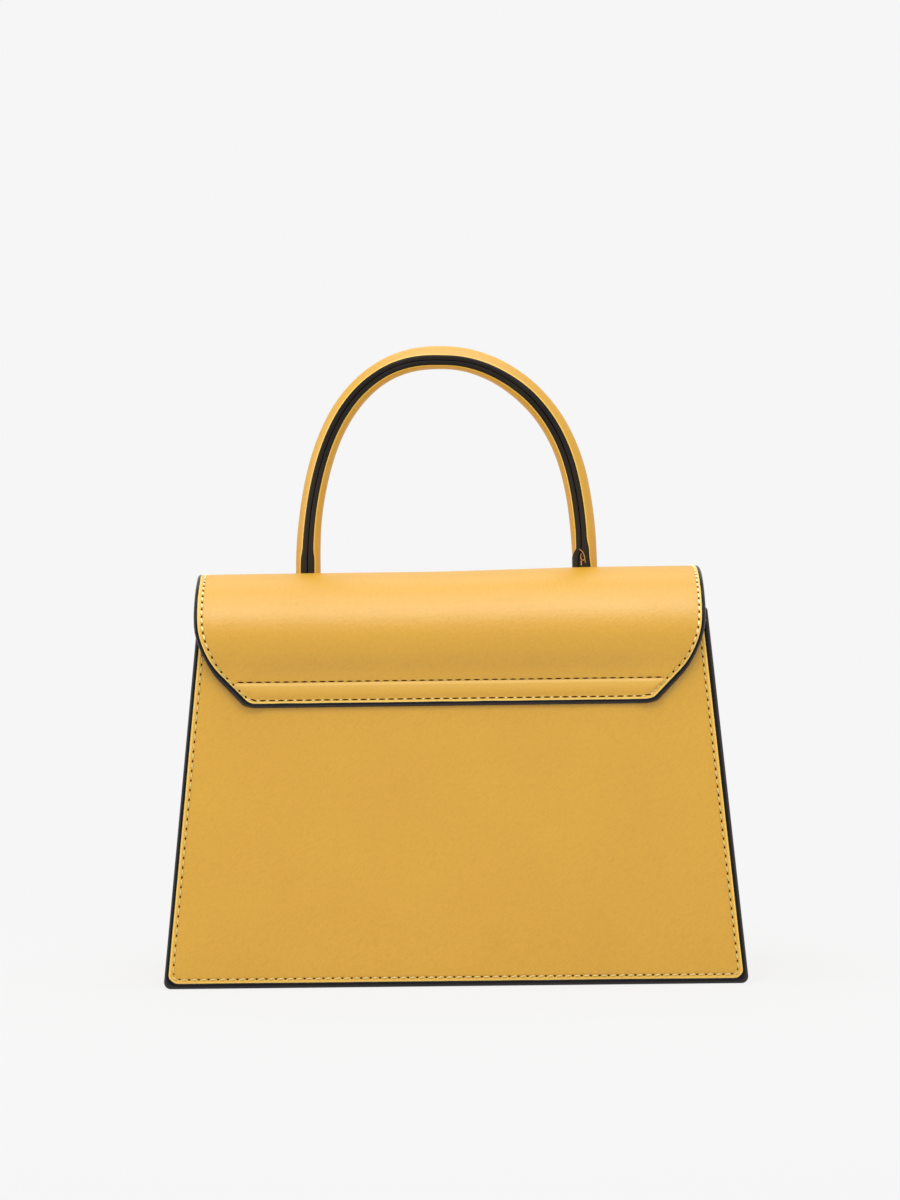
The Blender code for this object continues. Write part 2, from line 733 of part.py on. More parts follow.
def build_snap(panel, panel_board, lining, flap_board):
    """The socket on the front panel and the stud on the flap's lining."""
    socket_cap = (
        (SNAP_RADIUS, -GAP), (SNAP_RADIUS, -GAP - SOCKET_THICK),
        (SOCKET_RECESS_RADIUS, -GAP - SOCKET_THICK),
        (SOCKET_RECESS_RADIUS, -GAP - SOCKET_THICK + SOCKET_RECESS),
    )
    board_start = LEATHER + GAP
    board_end = board_start + BOARD
    build_snap_half("snap_socket", on_panel(FRONT), SNAP_Z, socket_cap, panel, panel_board,
                    (board_start, board_start + WASHER_THICK, board_end))
    under = FLAP_THICK + GAP
    stud_cap = (
        (SNAP_RADIUS, under), (SNAP_RADIUS, under + STUD_THICK),
        (STUD_BOSS_RADIUS, under + STUD_THICK), (STUD_BOSS_RADIUS, under + STUD_THICK + STUD_BOSS),
    )
    along = FLAP_LENGTH - (SNAP_Z - FLAP_EDGE_Z)
    build_snap_half("snap_stud", on_flap, along, stud_cap, lining, flap_board,
                    (board_end, board_end - WASHER_THICK, board_start))


def main():
    """Build the whole bag."""
    clear_scene()
    build_panel(BACK, "back")
    front_panel, front_board = build_panel(FRONT, "front")
    build_gusset(-1, "left")
    build_gusset(1, "right")
    build_base()
    build_lining()
    flap = build_flap()
    build_slots(flap["flap_cover"], flap["flap_board"])
    build_rivets(flap["flap_board"], build_handle())
    build_snap(front_panel, front_board, flap["flap_lining"], flap["flap_board"])


main()
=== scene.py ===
# %% [markdown]
# A small, stiff hand bag of smooth yellow leather, seen from its back. On the real bag every
# piece is cut flat, its edges are painted black, and then it is bent and sewn. This lesson
# works the same way: each piece is modelled flat or straight, in pattern space, where its
# edges, stitches and seams are easy to lay out, and one function per surface then bends it
# into place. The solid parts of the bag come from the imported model, which is loaded first.

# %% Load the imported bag
import math

import bmesh
import bpy
import numpy as np
from mathutils import Matrix, Vector, noise


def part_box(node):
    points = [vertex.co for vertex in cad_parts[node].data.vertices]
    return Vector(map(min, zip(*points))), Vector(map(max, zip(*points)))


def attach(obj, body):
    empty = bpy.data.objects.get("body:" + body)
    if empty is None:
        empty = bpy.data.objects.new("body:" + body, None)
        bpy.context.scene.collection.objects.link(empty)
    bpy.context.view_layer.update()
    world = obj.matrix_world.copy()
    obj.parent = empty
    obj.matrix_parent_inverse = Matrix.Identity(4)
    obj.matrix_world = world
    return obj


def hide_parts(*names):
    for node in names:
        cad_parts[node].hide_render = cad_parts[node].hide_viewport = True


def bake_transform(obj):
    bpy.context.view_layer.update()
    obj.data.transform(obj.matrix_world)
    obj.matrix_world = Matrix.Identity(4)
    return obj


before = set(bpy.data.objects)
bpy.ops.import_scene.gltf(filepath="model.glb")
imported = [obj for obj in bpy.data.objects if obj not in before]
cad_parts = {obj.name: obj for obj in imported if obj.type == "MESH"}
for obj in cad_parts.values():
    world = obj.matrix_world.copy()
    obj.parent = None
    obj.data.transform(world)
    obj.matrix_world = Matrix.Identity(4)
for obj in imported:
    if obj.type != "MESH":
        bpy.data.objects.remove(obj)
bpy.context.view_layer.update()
MM = 0.001

# %% [markdown]
# The camera comes early, so that every later choice can be judged in the photo's own view.
# The photo was taken level with the bag's ridge, from about 1.25 m, straight at its back. The
# bag's edges rise a little to the right, so the camera is rolled by half a degree. The focal
# length is worked out from the size of the bag in the picture.

# %% Camera
PHOTO_LONG_SIDE = 1200
FOCAL_PIXELS = 2771
CAMERA_PLACE = (-0.0009, -1.248, 0.1675)
CAMERA_ROLL = math.radians(0.62)

camera = bpy.data.objects.new("photo_camera", bpy.data.cameras.new("photo_camera"))
bpy.context.scene.collection.objects.link(camera)
camera.data.lens = FOCAL_PIXELS / PHOTO_LONG_SIDE * camera.data.sensor_width
camera.location = CAMERA_PLACE
camera.rotation_euler = (math.pi / 2, CAMERA_ROLL, 0)
bpy.context.scene.camera = camera
bpy.context.scene.view_settings.view_transform = "Standard"
print("lens:", round(camera.data.lens, 1), "mm")

# %% [markdown]
# The colours are read off the photo as screen values from 0 to 255. Blender's shaders count
# light and not screen steps, so one function turns a screen colour into a light colour.

# %% Colours
def from_screen(red, green, blue):
    """A screen colour as the linear colour that a shader needs."""
    shares = [value / 255 for value in (red, green, blue)]
    linear = [s / 12.92 if s <= 0.04045 else ((s + 0.055) / 1.055) ** 2.4 for s in shares]
    return (*linear, 1)


LEATHER_COLOUR = from_screen(208, 155, 13)
LEATHER_DEEP = from_screen(205, 151, 9)
LEATHER_PORE = from_screen(170, 118, 6)
LEATHER_SPECK = from_screen(168, 122, 44)
# Painted light on the leather: a sheen beside the edge, a highlight on the crease and one along the
# fold.
LEATHER_SHEEN = from_screen(222, 168, 36)
LEATHER_CREASE_HIGHLIGHT = from_screen(243, 201, 88)
LEATHER_FOLD_HIGHLIGHT = from_screen(238, 194, 100)
PAINT_COLOUR = from_screen(6, 7, 14)
PAINT_WORN = from_screen(22, 20, 22)
# Painted reflection on the rounded outer side of the painted edge.
PAINT_REFLECTION = from_screen(54, 49, 48)
PAINT_WARM = from_screen(44, 37, 27)
THREAD_COLOUR = from_screen(255, 250, 210)
THREAD_SHADE = from_screen(234, 220, 140)
# Painted shade on thread that is pulled into the leather.
THREAD_SUNK_SHADE = from_screen(182, 156, 54)
THREAD_TAN = from_screen(230, 174, 88)
THREAD_BROWN = from_screen(184, 126, 54)
# Painted shade inside the needle holes.
HOLE_SHADE_COLOUR = from_screen(46, 16, 3)
HOLE_EDGE_SHADE = from_screen(84, 34, 8)
LINING_COLOUR = from_screen(150, 128, 102)
LINING_SHADE = from_screen(118, 98, 76)
BOARD_COLOUR = from_screen(132, 124, 114)
BOARD_FIBRE = from_screen(104, 92, 80)
COTTON_COLOUR = from_screen(206, 199, 184)
COTTON_SHADE = from_screen(172, 162, 142)
GOLD_COLOUR = from_screen(232, 208, 150)
GOLD_WORN = from_screen(206, 176, 112)
BACKDROP_COLOUR = from_screen(246, 246, 246)
print("leather as light:", [round(value, 3) for value in LEATHER_COLOUR[:3]])

# %% [markdown]
# Grain, paint waves, twist and weave are effects that several finishes share. Each is built
# once as a node group with named sockets, so a finish only sets its own sizes. The groups
# put out heights and masks, and the shader itself stays in the material.

# %% Node group helpers
def new_group(name, inputs, outputs):
    """An empty shader node group with its inner ends: inputs are (name, kind, value)."""
    group = bpy.data.node_groups.new(name, "ShaderNodeTree")
    for socket_name, kind, value in inputs:
        socket = group.interface.new_socket(socket_name, in_out="INPUT", socket_type=kind)
        if value is not None:
            socket.default_value = value
    for socket_name in outputs:
        group.interface.new_socket(socket_name, in_out="OUTPUT", socket_type="NodeSocketFloat")
    return group, group.nodes.new("NodeGroupInput"), group.nodes.new("NodeGroupOutput")


def feed(tree, socket, value):
    """Give a socket a number or a colour of its own, or link another node's output to it."""
    if isinstance(value, bpy.types.NodeSocket):
        tree.links.new(value, socket)
    else:
        socket.default_value = value


def maths(tree, operation, *sides):
    """One maths node; each side is a socket or a number."""
    node = tree.nodes.new("ShaderNodeMath")
    node.operation = operation
    for socket, value in zip(node.inputs, sides):
        feed(tree, socket, value)
    return node.outputs["Value"]


def noise_at(tree, where, scale, detail):
    """Soft noise read at a place, from 0 to 1."""
    node = tree.nodes.new("ShaderNodeTexNoise")
    node.inputs["Detail"].default_value = detail
    feed(tree, node.inputs["Scale"], scale)
    tree.links.new(where, node.inputs["Vector"])
    return node.outputs["Fac"]


def remapped(tree, value, low, high, to_low=0.0, to_high=1.0):
    """A value stretched from one range to another, and held inside it."""
    node = tree.nodes.new("ShaderNodeMapRange")
    tree.links.new(value, node.inputs["Value"])
    for socket_name, number in (
        ("From Min", low), ("From Max", high), ("To Min", to_low), ("To Max", to_high),
    ):
        node.inputs[socket_name].default_value = number
    return node.outputs["Result"]


def stretched(tree, where, lengths, turn):
    """The place turned, then measured in its own length along each axis."""
    node = tree.nodes.new("ShaderNodeMapping")
    node.vector_type = "TEXTURE"
    node.inputs["Scale"].default_value = lengths
    node.inputs["Rotation"].default_value = turn
    tree.links.new(where, node.inputs["Vector"])
    return node.outputs["Vector"]


def mixed_tones(tree, below, above, mask):
    """Two tones, each a colour or a socket, mixed as far as the mask says."""
    node = tree.nodes.new("ShaderNodeMix")
    node.data_type = "RGBA"
    feed(tree, node.inputs["A"], below)
    feed(tree, node.inputs["B"], above)
    tree.links.new(mask, node.inputs["Factor"])
    return node.outputs["Result"]


# %% [markdown]
# Smooth calf leather isn't flat: it has pores under a millimetre wide, a faint slanting
# grain, cloudy patches of tone and a few tiny dark specks. The pores and the grain are noise
# at two sizes, and the specks are the centres of wide random cells.

# %% Node group: leather grain
GRAIN_LENGTHS = (2.4 * MM, 2.4 * MM, 0.6 * MM)
GRAIN_SLANT = (0, math.radians(-42), 0)
GRAIN_WEIGHT = 1.1
CLOUD_RANGE = (0.35, 0.7)
SPECK_CELLS = 34
SPECK_RANGE = (0.018, 0.008)

LEATHER_GRAIN, grain_in, grain_out = new_group(
    "leather_grain",
    (("Place", "NodeSocketVector", None), ("Pore Size", "NodeSocketFloat", 1100.0),
     ("Cloud Size", "NodeSocketFloat", 22.0)),
    ("Height", "Clouds", "Specks"),
)
pores = noise_at(LEATHER_GRAIN, grain_in.outputs["Place"], grain_in.outputs["Pore Size"], 3)
slanted = stretched(LEATHER_GRAIN, grain_in.outputs["Place"], GRAIN_LENGTHS, GRAIN_SLANT)
grain_lines = noise_at(LEATHER_GRAIN, slanted, 1.0, 1)
grain_height = maths(LEATHER_GRAIN, "MULTIPLY_ADD", grain_lines, GRAIN_WEIGHT, pores)
LEATHER_GRAIN.links.new(grain_height, grain_out.inputs["Height"])
clouds = noise_at(LEATHER_GRAIN, grain_in.outputs["Place"], grain_in.outputs["Cloud Size"], 4)
LEATHER_GRAIN.links.new(remapped(LEATHER_GRAIN, clouds, *CLOUD_RANGE), grain_out.inputs["Clouds"])
cells = LEATHER_GRAIN.nodes.new("ShaderNodeTexVoronoi")
cells.inputs["Scale"].default_value = SPECK_CELLS
LEATHER_GRAIN.links.new(grain_in.outputs["Place"], cells.inputs["Vector"])
speck_mask = remapped(LEATHER_GRAIN, cells.outputs["Distance"], *SPECK_RANGE)
LEATHER_GRAIN.links.new(speck_mask, grain_out.inputs["Specks"])
print("leather grain nodes:", len(LEATHER_GRAIN.nodes))

# %% [markdown]
# The black edge is brushed on by hand in several coats and sanded between them, so it shines
# but waves a little along its length. Long noise gives the waves and fine noise the skin.

# %% Node group: brushed coats
SKIN_SIZE = 1800.0
SKIN_WEIGHT = 0.12
WORN_SIZE = 70.0
WORN_RANGE = (0.5, 0.75)

BRUSHED_COATS, coats_in, coats_out = new_group(
    "brushed_coats",
    (("Place", "NodeSocketVector", None), ("Wave Size", "NodeSocketFloat", 160.0)),
    ("Height", "Worn"),
)
waves = noise_at(BRUSHED_COATS, coats_in.outputs["Place"], coats_in.outputs["Wave Size"], 1)
skin = noise_at(BRUSHED_COATS, coats_in.outputs["Place"], SKIN_SIZE, 2)
coat_height = maths(BRUSHED_COATS, "MULTIPLY_ADD", skin, SKIN_WEIGHT, waves)
BRUSHED_COATS.links.new(coat_height, coats_out.inputs["Height"])
worn = noise_at(BRUSHED_COATS, coats_in.outputs["Place"], WORN_SIZE, 3)
BRUSHED_COATS.links.new(remapped(BRUSHED_COATS, worn, *WORN_RANGE), coats_out.inputs["Worn"])
print("brushed coats nodes:", len(BRUSHED_COATS.nodes))

# %% [markdown]
# Thread, cotton and woven lining are all made of yarns. Crossed waves along the three axes
# give a plain weave on any wall that follows an axis. The same waves, finer or coarser, pass
# for the twist of a thread, and slow noise gives the fluff.

# %% Node group: yarns
FLUFF_SIZE = 480.0

YARNS, yarns_in, yarns_out = new_group(
    "yarns",
    (("Place", "NodeSocketVector", None), ("Yarn Count", "NodeSocketFloat", 9000.0)),
    ("Height", "Fluff"),
)
split = YARNS.nodes.new("ShaderNodeSeparateXYZ")
YARNS.links.new(yarns_in.outputs["Place"], split.inputs["Vector"])
yarn_height = None
for axis in ("X", "Y", "Z"):
    phase = maths(YARNS, "MULTIPLY", split.outputs[axis], yarns_in.outputs["Yarn Count"])
    ripple = maths(YARNS, "SINE", phase)
    yarn_height = ripple if yarn_height is None else maths(YARNS, "ADD", yarn_height, ripple)
YARNS.links.new(remapped(YARNS, yarn_height, -2.0, 2.0), yarns_out.inputs["Height"])
fluff = noise_at(YARNS, yarns_in.outputs["Place"], FLUFF_SIZE, 3)
YARNS.links.new(fluff, yarns_out.inputs["Fluff"])
print("yarns nodes:", len(YARNS.nodes))

# %% [markdown]
# A finish is a material: two tones mixed by a mask, a roughness and a bump from its group.
# One function builds that chain, because every finish on the bag has the same three parts.

# %% Finish helper
def new_finish(name, group, group_values, tones, mask, bump, roughness, **uniform):
    """A material with two tones, a mask between them, a bump and a rough range."""
    material = bpy.data.materials.new(name)
    material.use_nodes = True
    tree = material.node_tree
    shader = tree.nodes["Principled BSDF"]
    place = tree.nodes.new("ShaderNodeTexCoord").outputs["Object"]
    effect = tree.nodes.new("ShaderNodeGroup")
    effect.node_tree = group
    tree.links.new(place, effect.inputs["Place"])
    for socket_name, value in group_values.items():
        effect.inputs[socket_name].default_value = value
    blend = mixed_tones(tree, *tones, effect.outputs[mask])
    tree.links.new(blend, shader.inputs["Base Color"])
    rough = remapped(tree, effect.outputs[mask], 0, 1, *roughness)
    tree.links.new(rough, shader.inputs["Roughness"])
    raised = tree.nodes.new("ShaderNodeBump")
    raised.inputs["Strength"].default_value = bump[0]
    raised.inputs["Distance"].default_value = bump[1]
    tree.links.new(effect.outputs["Height"], raised.inputs["Height"])
    tree.links.new(raised.outputs["Normal"], shader.inputs["Normal"])
    for socket_name, value in uniform.items():
        shader.inputs[socket_name.replace("_", " ")].default_value = value
    return material


# %% [markdown]
# Three finishes change over a piece. Beside a painted edge the leather gets a painted sheen and a
# painted highlight, and it gets another painted highlight along a fold. The paint gets a painted grey
# reflection on its outer side and is browner where it is thin. Thread gets painted shade where it
# sinks in. Each piece carries such a value as an attribute of its points, and this helper lays one
# more tone over a material wherever that value is high.

# %% Tones by attribute
def read_attribute(tree, name):
    """A piece's own value, as it was marked on its points."""
    reader = tree.nodes.new("ShaderNodeAttribute")
    reader.attribute_name = name
    return reader.outputs["Fac"]


def lay_over(tree, tone, mask):
    """Mix one more tone over a material's base colour, as far as the mask says."""
    colour = tree.nodes["Principled BSDF"].inputs["Base Color"]
    below = colour.links[0].from_socket
    tree.links.new(mixed_tones(tree, below, tone, mask), colour)


# %% [markdown]
# The leather is what the eye reads first. Its pores hold a deeper tone and a few specks lie between
# them. Beside the paint it carries painted light in two steps: a strip of painted sheen that is a
# little paler, and in it a thin crease of painted highlight that is paler still.

# %% Leather finish
PORE_RANGE = (1.15, 0.80)
PORE_SHARE = 0.16
SHEEN_STRIP_MARK = 0.4
SHEEN_STRIP_SHARE = 0.85
CREASE_HIGHLIGHT_SHARE = 0.9

YELLOW_LEATHER = new_finish(
    "yellow_leather", LEATHER_GRAIN, {}, (LEATHER_COLOUR, LEATHER_DEEP), "Clouds",
    (0.42, 0.16 * MM), (0.42, 0.47), Specular_IOR_Level=0.9,
)
tree = YELLOW_LEATHER.node_tree
grain = tree.nodes["Group"]
pore_mask = remapped(tree, grain.outputs["Height"], *PORE_RANGE, 0.0, PORE_SHARE)
lay_over(tree, LEATHER_PORE, pore_mask)
lay_over(tree, LEATHER_SPECK, grain.outputs["Specks"])
# Painted sheen on the strip beside the paint, and a painted highlight on the crease in it.
pressed = read_attribute(tree, "pressed")
lay_over(tree, LEATHER_SHEEN, remapped(tree, pressed, 0.0, SHEEN_STRIP_MARK, 0.0, SHEEN_STRIP_SHARE))
lay_over(tree, LEATHER_CREASE_HIGHLIGHT, remapped(tree, pressed, SHEEN_STRIP_MARK, 1.0, 0.0, CREASE_HIGHLIGHT_SHARE))
# Painted highlight along the fold of the flap's tail.
lay_over(tree, LEATHER_FOLD_HIGHLIGHT, read_attribute(tree, "fold"))
print("leather nodes:", len(tree.nodes))

# %% [markdown]
# Edge paint is thick and glossy, and its outer side carries a painted grey reflection. The waxed
# thread is pale where it stands proud and carries painted shade, dark yellow, where it was pulled
# into the leather.

# %% Paint and thread finishes
REFLECTION_RANGE = (0.35, 0.75)

BLACK_PAINT = new_finish(
    "black_edge_paint", BRUSHED_COATS, {}, (PAINT_COLOUR, PAINT_WORN), "Worn",
    (0.5, 0.25 * MM), (0.24, 0.34), Specular_IOR_Level=0.15,
)
tree = BLACK_PAINT.node_tree
# Painted grey reflection on the outer side of each bead.
lay_over(tree, PAINT_REFLECTION, remapped(tree, read_attribute(tree, "outer"), *REFLECTION_RANGE))
lay_over(tree, PAINT_WARM, read_attribute(tree, "warm"))
SEWING_THREAD = new_finish(
    "waxed_thread", YARNS, {"Yarn Count": 14000.0}, (THREAD_SHADE, THREAD_COLOUR), "Height",
    (0.4, 0.06 * MM), (0.62, 0.5),
)
tree = SEWING_THREAD.node_tree
# Painted shade where the thread sinks in.
lay_over(tree, THREAD_SUNK_SHADE, read_attribute(tree, "sunk_shade"))
LOOSE_THREAD = new_finish(
    "tan_thread", YARNS, {"Yarn Count": 14000.0}, (THREAD_BROWN, THREAD_TAN), "Height",
    (0.4, 0.05 * MM), (0.7, 0.6),
)
# Painted shade for the needle holes and slots.
NEEDLE_HOLE_SHADE = new_finish(
    "needle_hole_shade", YARNS, {}, (HOLE_SHADE_COLOUR, HOLE_EDGE_SHADE), "Fluff", (0.1, 0.05 * MM), (0.9, 0.8),
    Specular_IOR_Level=0.1,
)
print("paint and thread nodes:", len(BLACK_PAINT.node_tree.nodes), len(tree.nodes))

# %% [markdown]
# What the photo hides keeps to two tones each: a plain weave for the lining, matted fibres
# for the boards, soft cotton in the handle, and light gold plating on the snap and rivets.

# %% Finishes of the inside
WOVEN_LINING = new_finish(
    "woven_lining", YARNS, {"Yarn Count": 9000.0}, (LINING_SHADE, LINING_COLOUR), "Height",
    (0.6, 0.12 * MM), (0.9, 0.8), Sheen_Weight=0.15,
)
FIBRE_BOARD = new_finish(
    "fibre_board", YARNS, {"Yarn Count": 2600.0}, (BOARD_COLOUR, BOARD_FIBRE), "Fluff",
    (0.3, 0.1 * MM), (0.85, 0.95),
)
TWISTED_COTTON = new_finish(
    "twisted_cotton", YARNS, {"Yarn Count": 3800.0}, (COTTON_SHADE, COTTON_COLOUR), "Height",
    (0.8, 0.3 * MM), (0.95, 0.85),
)
PALE_GOLD = new_finish(
    "pale_gold", BRUSHED_COATS, {"Wave Size": 500.0}, (GOLD_COLOUR, GOLD_WORN), "Worn",
    (0.08, 0.04 * MM), (0.16, 0.3), Metallic=1.0,
)
print("finishes:", [item.name for item in (WOVEN_LINING, FIBRE_BOARD, TWISTED_COTTON, PALE_GOLD)])

# %% [markdown]
# The sizes of the real bag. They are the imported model's own, in metres, so that each visible
# piece lies exactly on the solid that it stands for.

# %% Sizes of the bag
BODY_WIDTH = 0.2541
BODY_TOP_WIDTH = 0.2226
BODY_DEPTH = 0.096
BODY_TOP_DEPTH = 0.072
BODY_HEIGHT = 0.163
BODY_CORNER = 0.003
LEATHER = 0.0014
GAP = 0.0003
RIM = 0.0019
PANEL_THICK = 0.0031
FLANGE = 0.008
BASE_TOP = 0.0074
LINING = 0.0005
BACK = -1
FRONT = 1


def half_width(height):
    """Half the body's width at a height."""
    return (BODY_WIDTH - (BODY_WIDTH - BODY_TOP_WIDTH) * height / BODY_HEIGHT) / 2


def half_depth(height):
    """Half the body's depth at a height."""
    return (BODY_DEPTH - (BODY_DEPTH - BODY_TOP_DEPTH) * height / BODY_HEIGHT) / 2


rim_low, rim_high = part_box("back_edge")
print("rim of the back, typed and packed:", BODY_WIDTH, round(rim_high.x - rim_low.x, 4))

# %% [markdown]
# Pattern space has three numbers for each point: across the piece, along it, and how deep it
# lies under the piece's outer face. A place function turns such points into real ones. The
# front and back panels only lean, so their function is short.

# %% Pattern space of the panels
def on_panel(side):
    """The place function of the back or the front panel."""
    def place(spots):
        across, height, deep = spots.T
        return np.column_stack((across, side * (half_depth(height) - deep), height))
    return place


print("foot of the back panel:", on_panel(BACK)(np.zeros((1, 3)))[0].round(4))

# %% [markdown]
# The flap is one long strip: sewn on the back, rolled over the mouth, hanging down the
# front. Its pattern length runs along that line as seen from the side: a straight sewn tail,
# a soft swelling up to the roll's widest point, a quarter ellipse up to the ridge, a flat
# top that carries the handle, a quarter ellipse down, and the straight front. The roll stands
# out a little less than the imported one.

# %% Pattern space of the flap
FLAP_WIDTH = 0.2216
FLAP_THICK = 0.0035
TAIL_EDGE_HEIGHT = 0.1219
TAIL_SEAM_HEIGHT = 0.1328
WIDEST_HEIGHT = 0.150
SHOULDER_HEIGHT = 0.158
RIDGE_HEIGHT = 0.1804
ROLL_PROUD = 0.0025
RIDGE_FLAT = 0.016
FLAP_EDGE_HEIGHT = 0.0925
SEAM_LIFT = 0.006
WIDEST_LIFT = 0.008
SNAP_ROOM = 0.0033
SWELL_STEPS = 22
ROLL_STEPS = 30
HINGE_STEP = 6


def running_length(points):
    """The length along a row of points, up to each of them."""
    return np.concatenate(([0], np.cumsum(np.linalg.norm(np.diff(points, axis=0), axis=1))))


def flap_line():
    """The flap's outer face from the side, as (y, z) points, and its widest point's index."""
    off_panel = GAP + FLAP_THICK
    tail = Vector((-half_depth(TAIL_EDGE_HEIGHT) - off_panel, TAIL_EDGE_HEIGHT))
    seam = Vector((-half_depth(TAIL_SEAM_HEIGHT) - off_panel, TAIL_SEAM_HEIGHT))
    back_reach = half_depth(WIDEST_HEIGHT) + off_panel + ROLL_PROUD
    widest = Vector((-back_reach, WIDEST_HEIGHT))
    low_pull = seam + (seam - tail).normalized() * SEAM_LIFT
    high_pull = widest - Vector((0, WIDEST_LIFT))
    points = [tail]
    for step in range(SWELL_STEPS):
        t = step / SWELL_STEPS
        points.append((1 - t) ** 3 * seam + 3 * (1 - t) ** 2 * t * low_pull
                      + 3 * (1 - t) * t ** 2 * high_pull + t ** 3 * widest)
    widest_index = len(points)
    front_room = SNAP_ROOM + FLAP_THICK
    front_reach = half_depth(SHOULDER_HEIGHT) + front_room
    for side, foot, outermost in (
        (BACK, WIDEST_HEIGHT, back_reach), (FRONT, SHOULDER_HEIGHT, front_reach),
    ):
        reach = outermost - RIDGE_FLAT / 2
        for step in range(ROLL_STEPS + 1):
            turn = math.pi / 2 * (step if side == BACK else ROLL_STEPS - step) / ROLL_STEPS
            points.append(Vector((
                side * (RIDGE_FLAT / 2 + reach * math.cos(turn)),
                foot + (RIDGE_HEIGHT - foot) * math.sin(turn),
            )))
    points.append(Vector((half_depth(FLAP_EDGE_HEIGHT) + front_room, FLAP_EDGE_HEIGHT)))
    return np.array([point[:] for point in points]), widest_index


FLAP_LINE, WIDEST_INDEX = flap_line()
FLAP_LENGTHS = running_length(FLAP_LINE)
FLAP_LENGTH = FLAP_LENGTHS[-1]
HINGE_LENGTH = FLAP_LENGTHS[WIDEST_INDEX + HINGE_STEP]
RIDGE_INDEX = WIDEST_INDEX + ROLL_STEPS
RIDGE_LENGTH = (FLAP_LENGTHS[RIDGE_INDEX] + FLAP_LENGTHS[RIDGE_INDEX + 1]) / 2
flap_directions = np.gradient(FLAP_LINE, axis=0)
FLAP_NORMALS = np.column_stack((-flap_directions[:, 1], flap_directions[:, 0]))
FLAP_NORMALS /= np.linalg.norm(FLAP_NORMALS, axis=1)[:, None]
print("flap, cut length:", round(FLAP_LENGTH / MM, 1), "mm")

# %% [markdown]
# A hand-made bag is never quite even, and the photo shows how: the flap is sewn on a little
# to the left of the middle, it hangs a touch lower on its left, it spreads by a millimetre on
# each side where it rolls over and by a little more at the ridge's left end, and its ridge
# rises by about a millimetre towards the right. The middle of the sewn tail is pressed to
# half its thickness. The flap's place function carries all of it, so every layer, edge and
# stitch follows.

# %% Place function of the flap
FLAP_SHIFT = -1.3 * MM
FLAP_TILT = math.radians(0.12)
RIDGE_UNEVEN = 1.35 * MM
RIDGE_UNEVEN_ACROSS = (-16 * MM, 76 * MM)
RIDGE_SAG = 0.3 * MM
RIDGE_RISE_ALONG = (HINGE_LENGTH - 16 * MM, RIDGE_LENGTH - RIDGE_FLAT / 2)
RIDGE_FALL_ALONG = (RIDGE_LENGTH + RIDGE_FLAT / 2, FLAP_LENGTH - 40 * MM)
ROLL_SPREAD = 0.009
ROLL_SPREAD_ALONG = (22 * MM, 44 * MM)
LEFT_SPREAD = 0.6 * MM
LEFT_SPREAD_ACROSS = (60 * MM, 105 * MM)
LEFT_SPREAD_ALONG = (RIDGE_LENGTH - 26 * MM, RIDGE_LENGTH - 4 * MM)
TAIL_PRESS = 0.5
TAIL_PRESS_ALONG = (9 * MM, 24 * MM)
TAIL_PRESS_ACROSS = (76 * MM, 94 * MM)
TAIL_PRESS_LOST = 0.9


def soft_step(value, start, end):
    """A smooth step from 0 at start to 1 at end, for all values at once."""
    share = np.clip((value - start) / (end - start), 0, 1)
    return share * share * (3 - 2 * share)


def read_along(where, lengths, values):
    """Both columns of a table, read at places between the lengths of its rows."""
    return [np.interp(where, lengths, values[:, column]) for column in (0, 1)]


def ridge_lift(across, along):
    """How much higher the roll lies than on a perfectly even bag."""
    rising = soft_step(along, *RIDGE_RISE_ALONG)
    falling = soft_step(along, *RIDGE_FALL_ALONG)
    lift = RIDGE_UNEVEN * soft_step(across, *RIDGE_UNEVEN_ACROSS) - RIDGE_SAG
    return lift * rising * (1 - falling)


def on_flap(spots):
    """The place function of the flap. Past either end of its line it goes straight on."""
    across, along, deep = spots.T
    pressed = TAIL_PRESS * (1 - soft_step(along, *TAIL_PRESS_ALONG))
    pressed = pressed * (1 - TAIL_PRESS_LOST * soft_step(np.abs(across), *TAIL_PRESS_ACROSS))
    deep = deep + FLAP_THICK * pressed * (1 - np.clip(deep / FLAP_THICK, 0, 1))
    middle = read_along(along, FLAP_LENGTHS, FLAP_LINE)
    out = read_along(along, FLAP_LENGTHS, FLAP_NORMALS)
    size = np.hypot(*out)
    lift = across * math.tan(FLAP_TILT) + ridge_lift(across, along)
    beyond = along - np.clip(along, 0, FLAP_LENGTH)
    depth = middle[0] - (deep * out[0] - beyond * out[1]) / size
    height = middle[1] - (deep * out[1] + beyond * out[0]) / size + lift
    wider = across * (1 + ROLL_SPREAD * soft_step(along, *ROLL_SPREAD_ALONG))
    at_ridge = soft_step(along, *LEFT_SPREAD_ALONG)
    wider = wider - LEFT_SPREAD * soft_step(-across, *LEFT_SPREAD_ACROSS) * at_ridge
    return np.column_stack((wider + FLAP_SHIFT, depth, height))


ridge_ends = on_flap(np.array([(-0.1, RIDGE_LENGTH, 0), (0.1, RIDGE_LENGTH, 0)]))
print("ridge, left and right:", ridge_ends[:, 2].round(4))

# %% [markdown]
# Outlines are drawn like a leather worker's template: corners with a radius each. A second
# function moves an outline inwards, for seam rows and for the inner side of a painted edge,
# and two more share out short steps along it.

# %% Outline helpers
CORNER_STEPS = 8


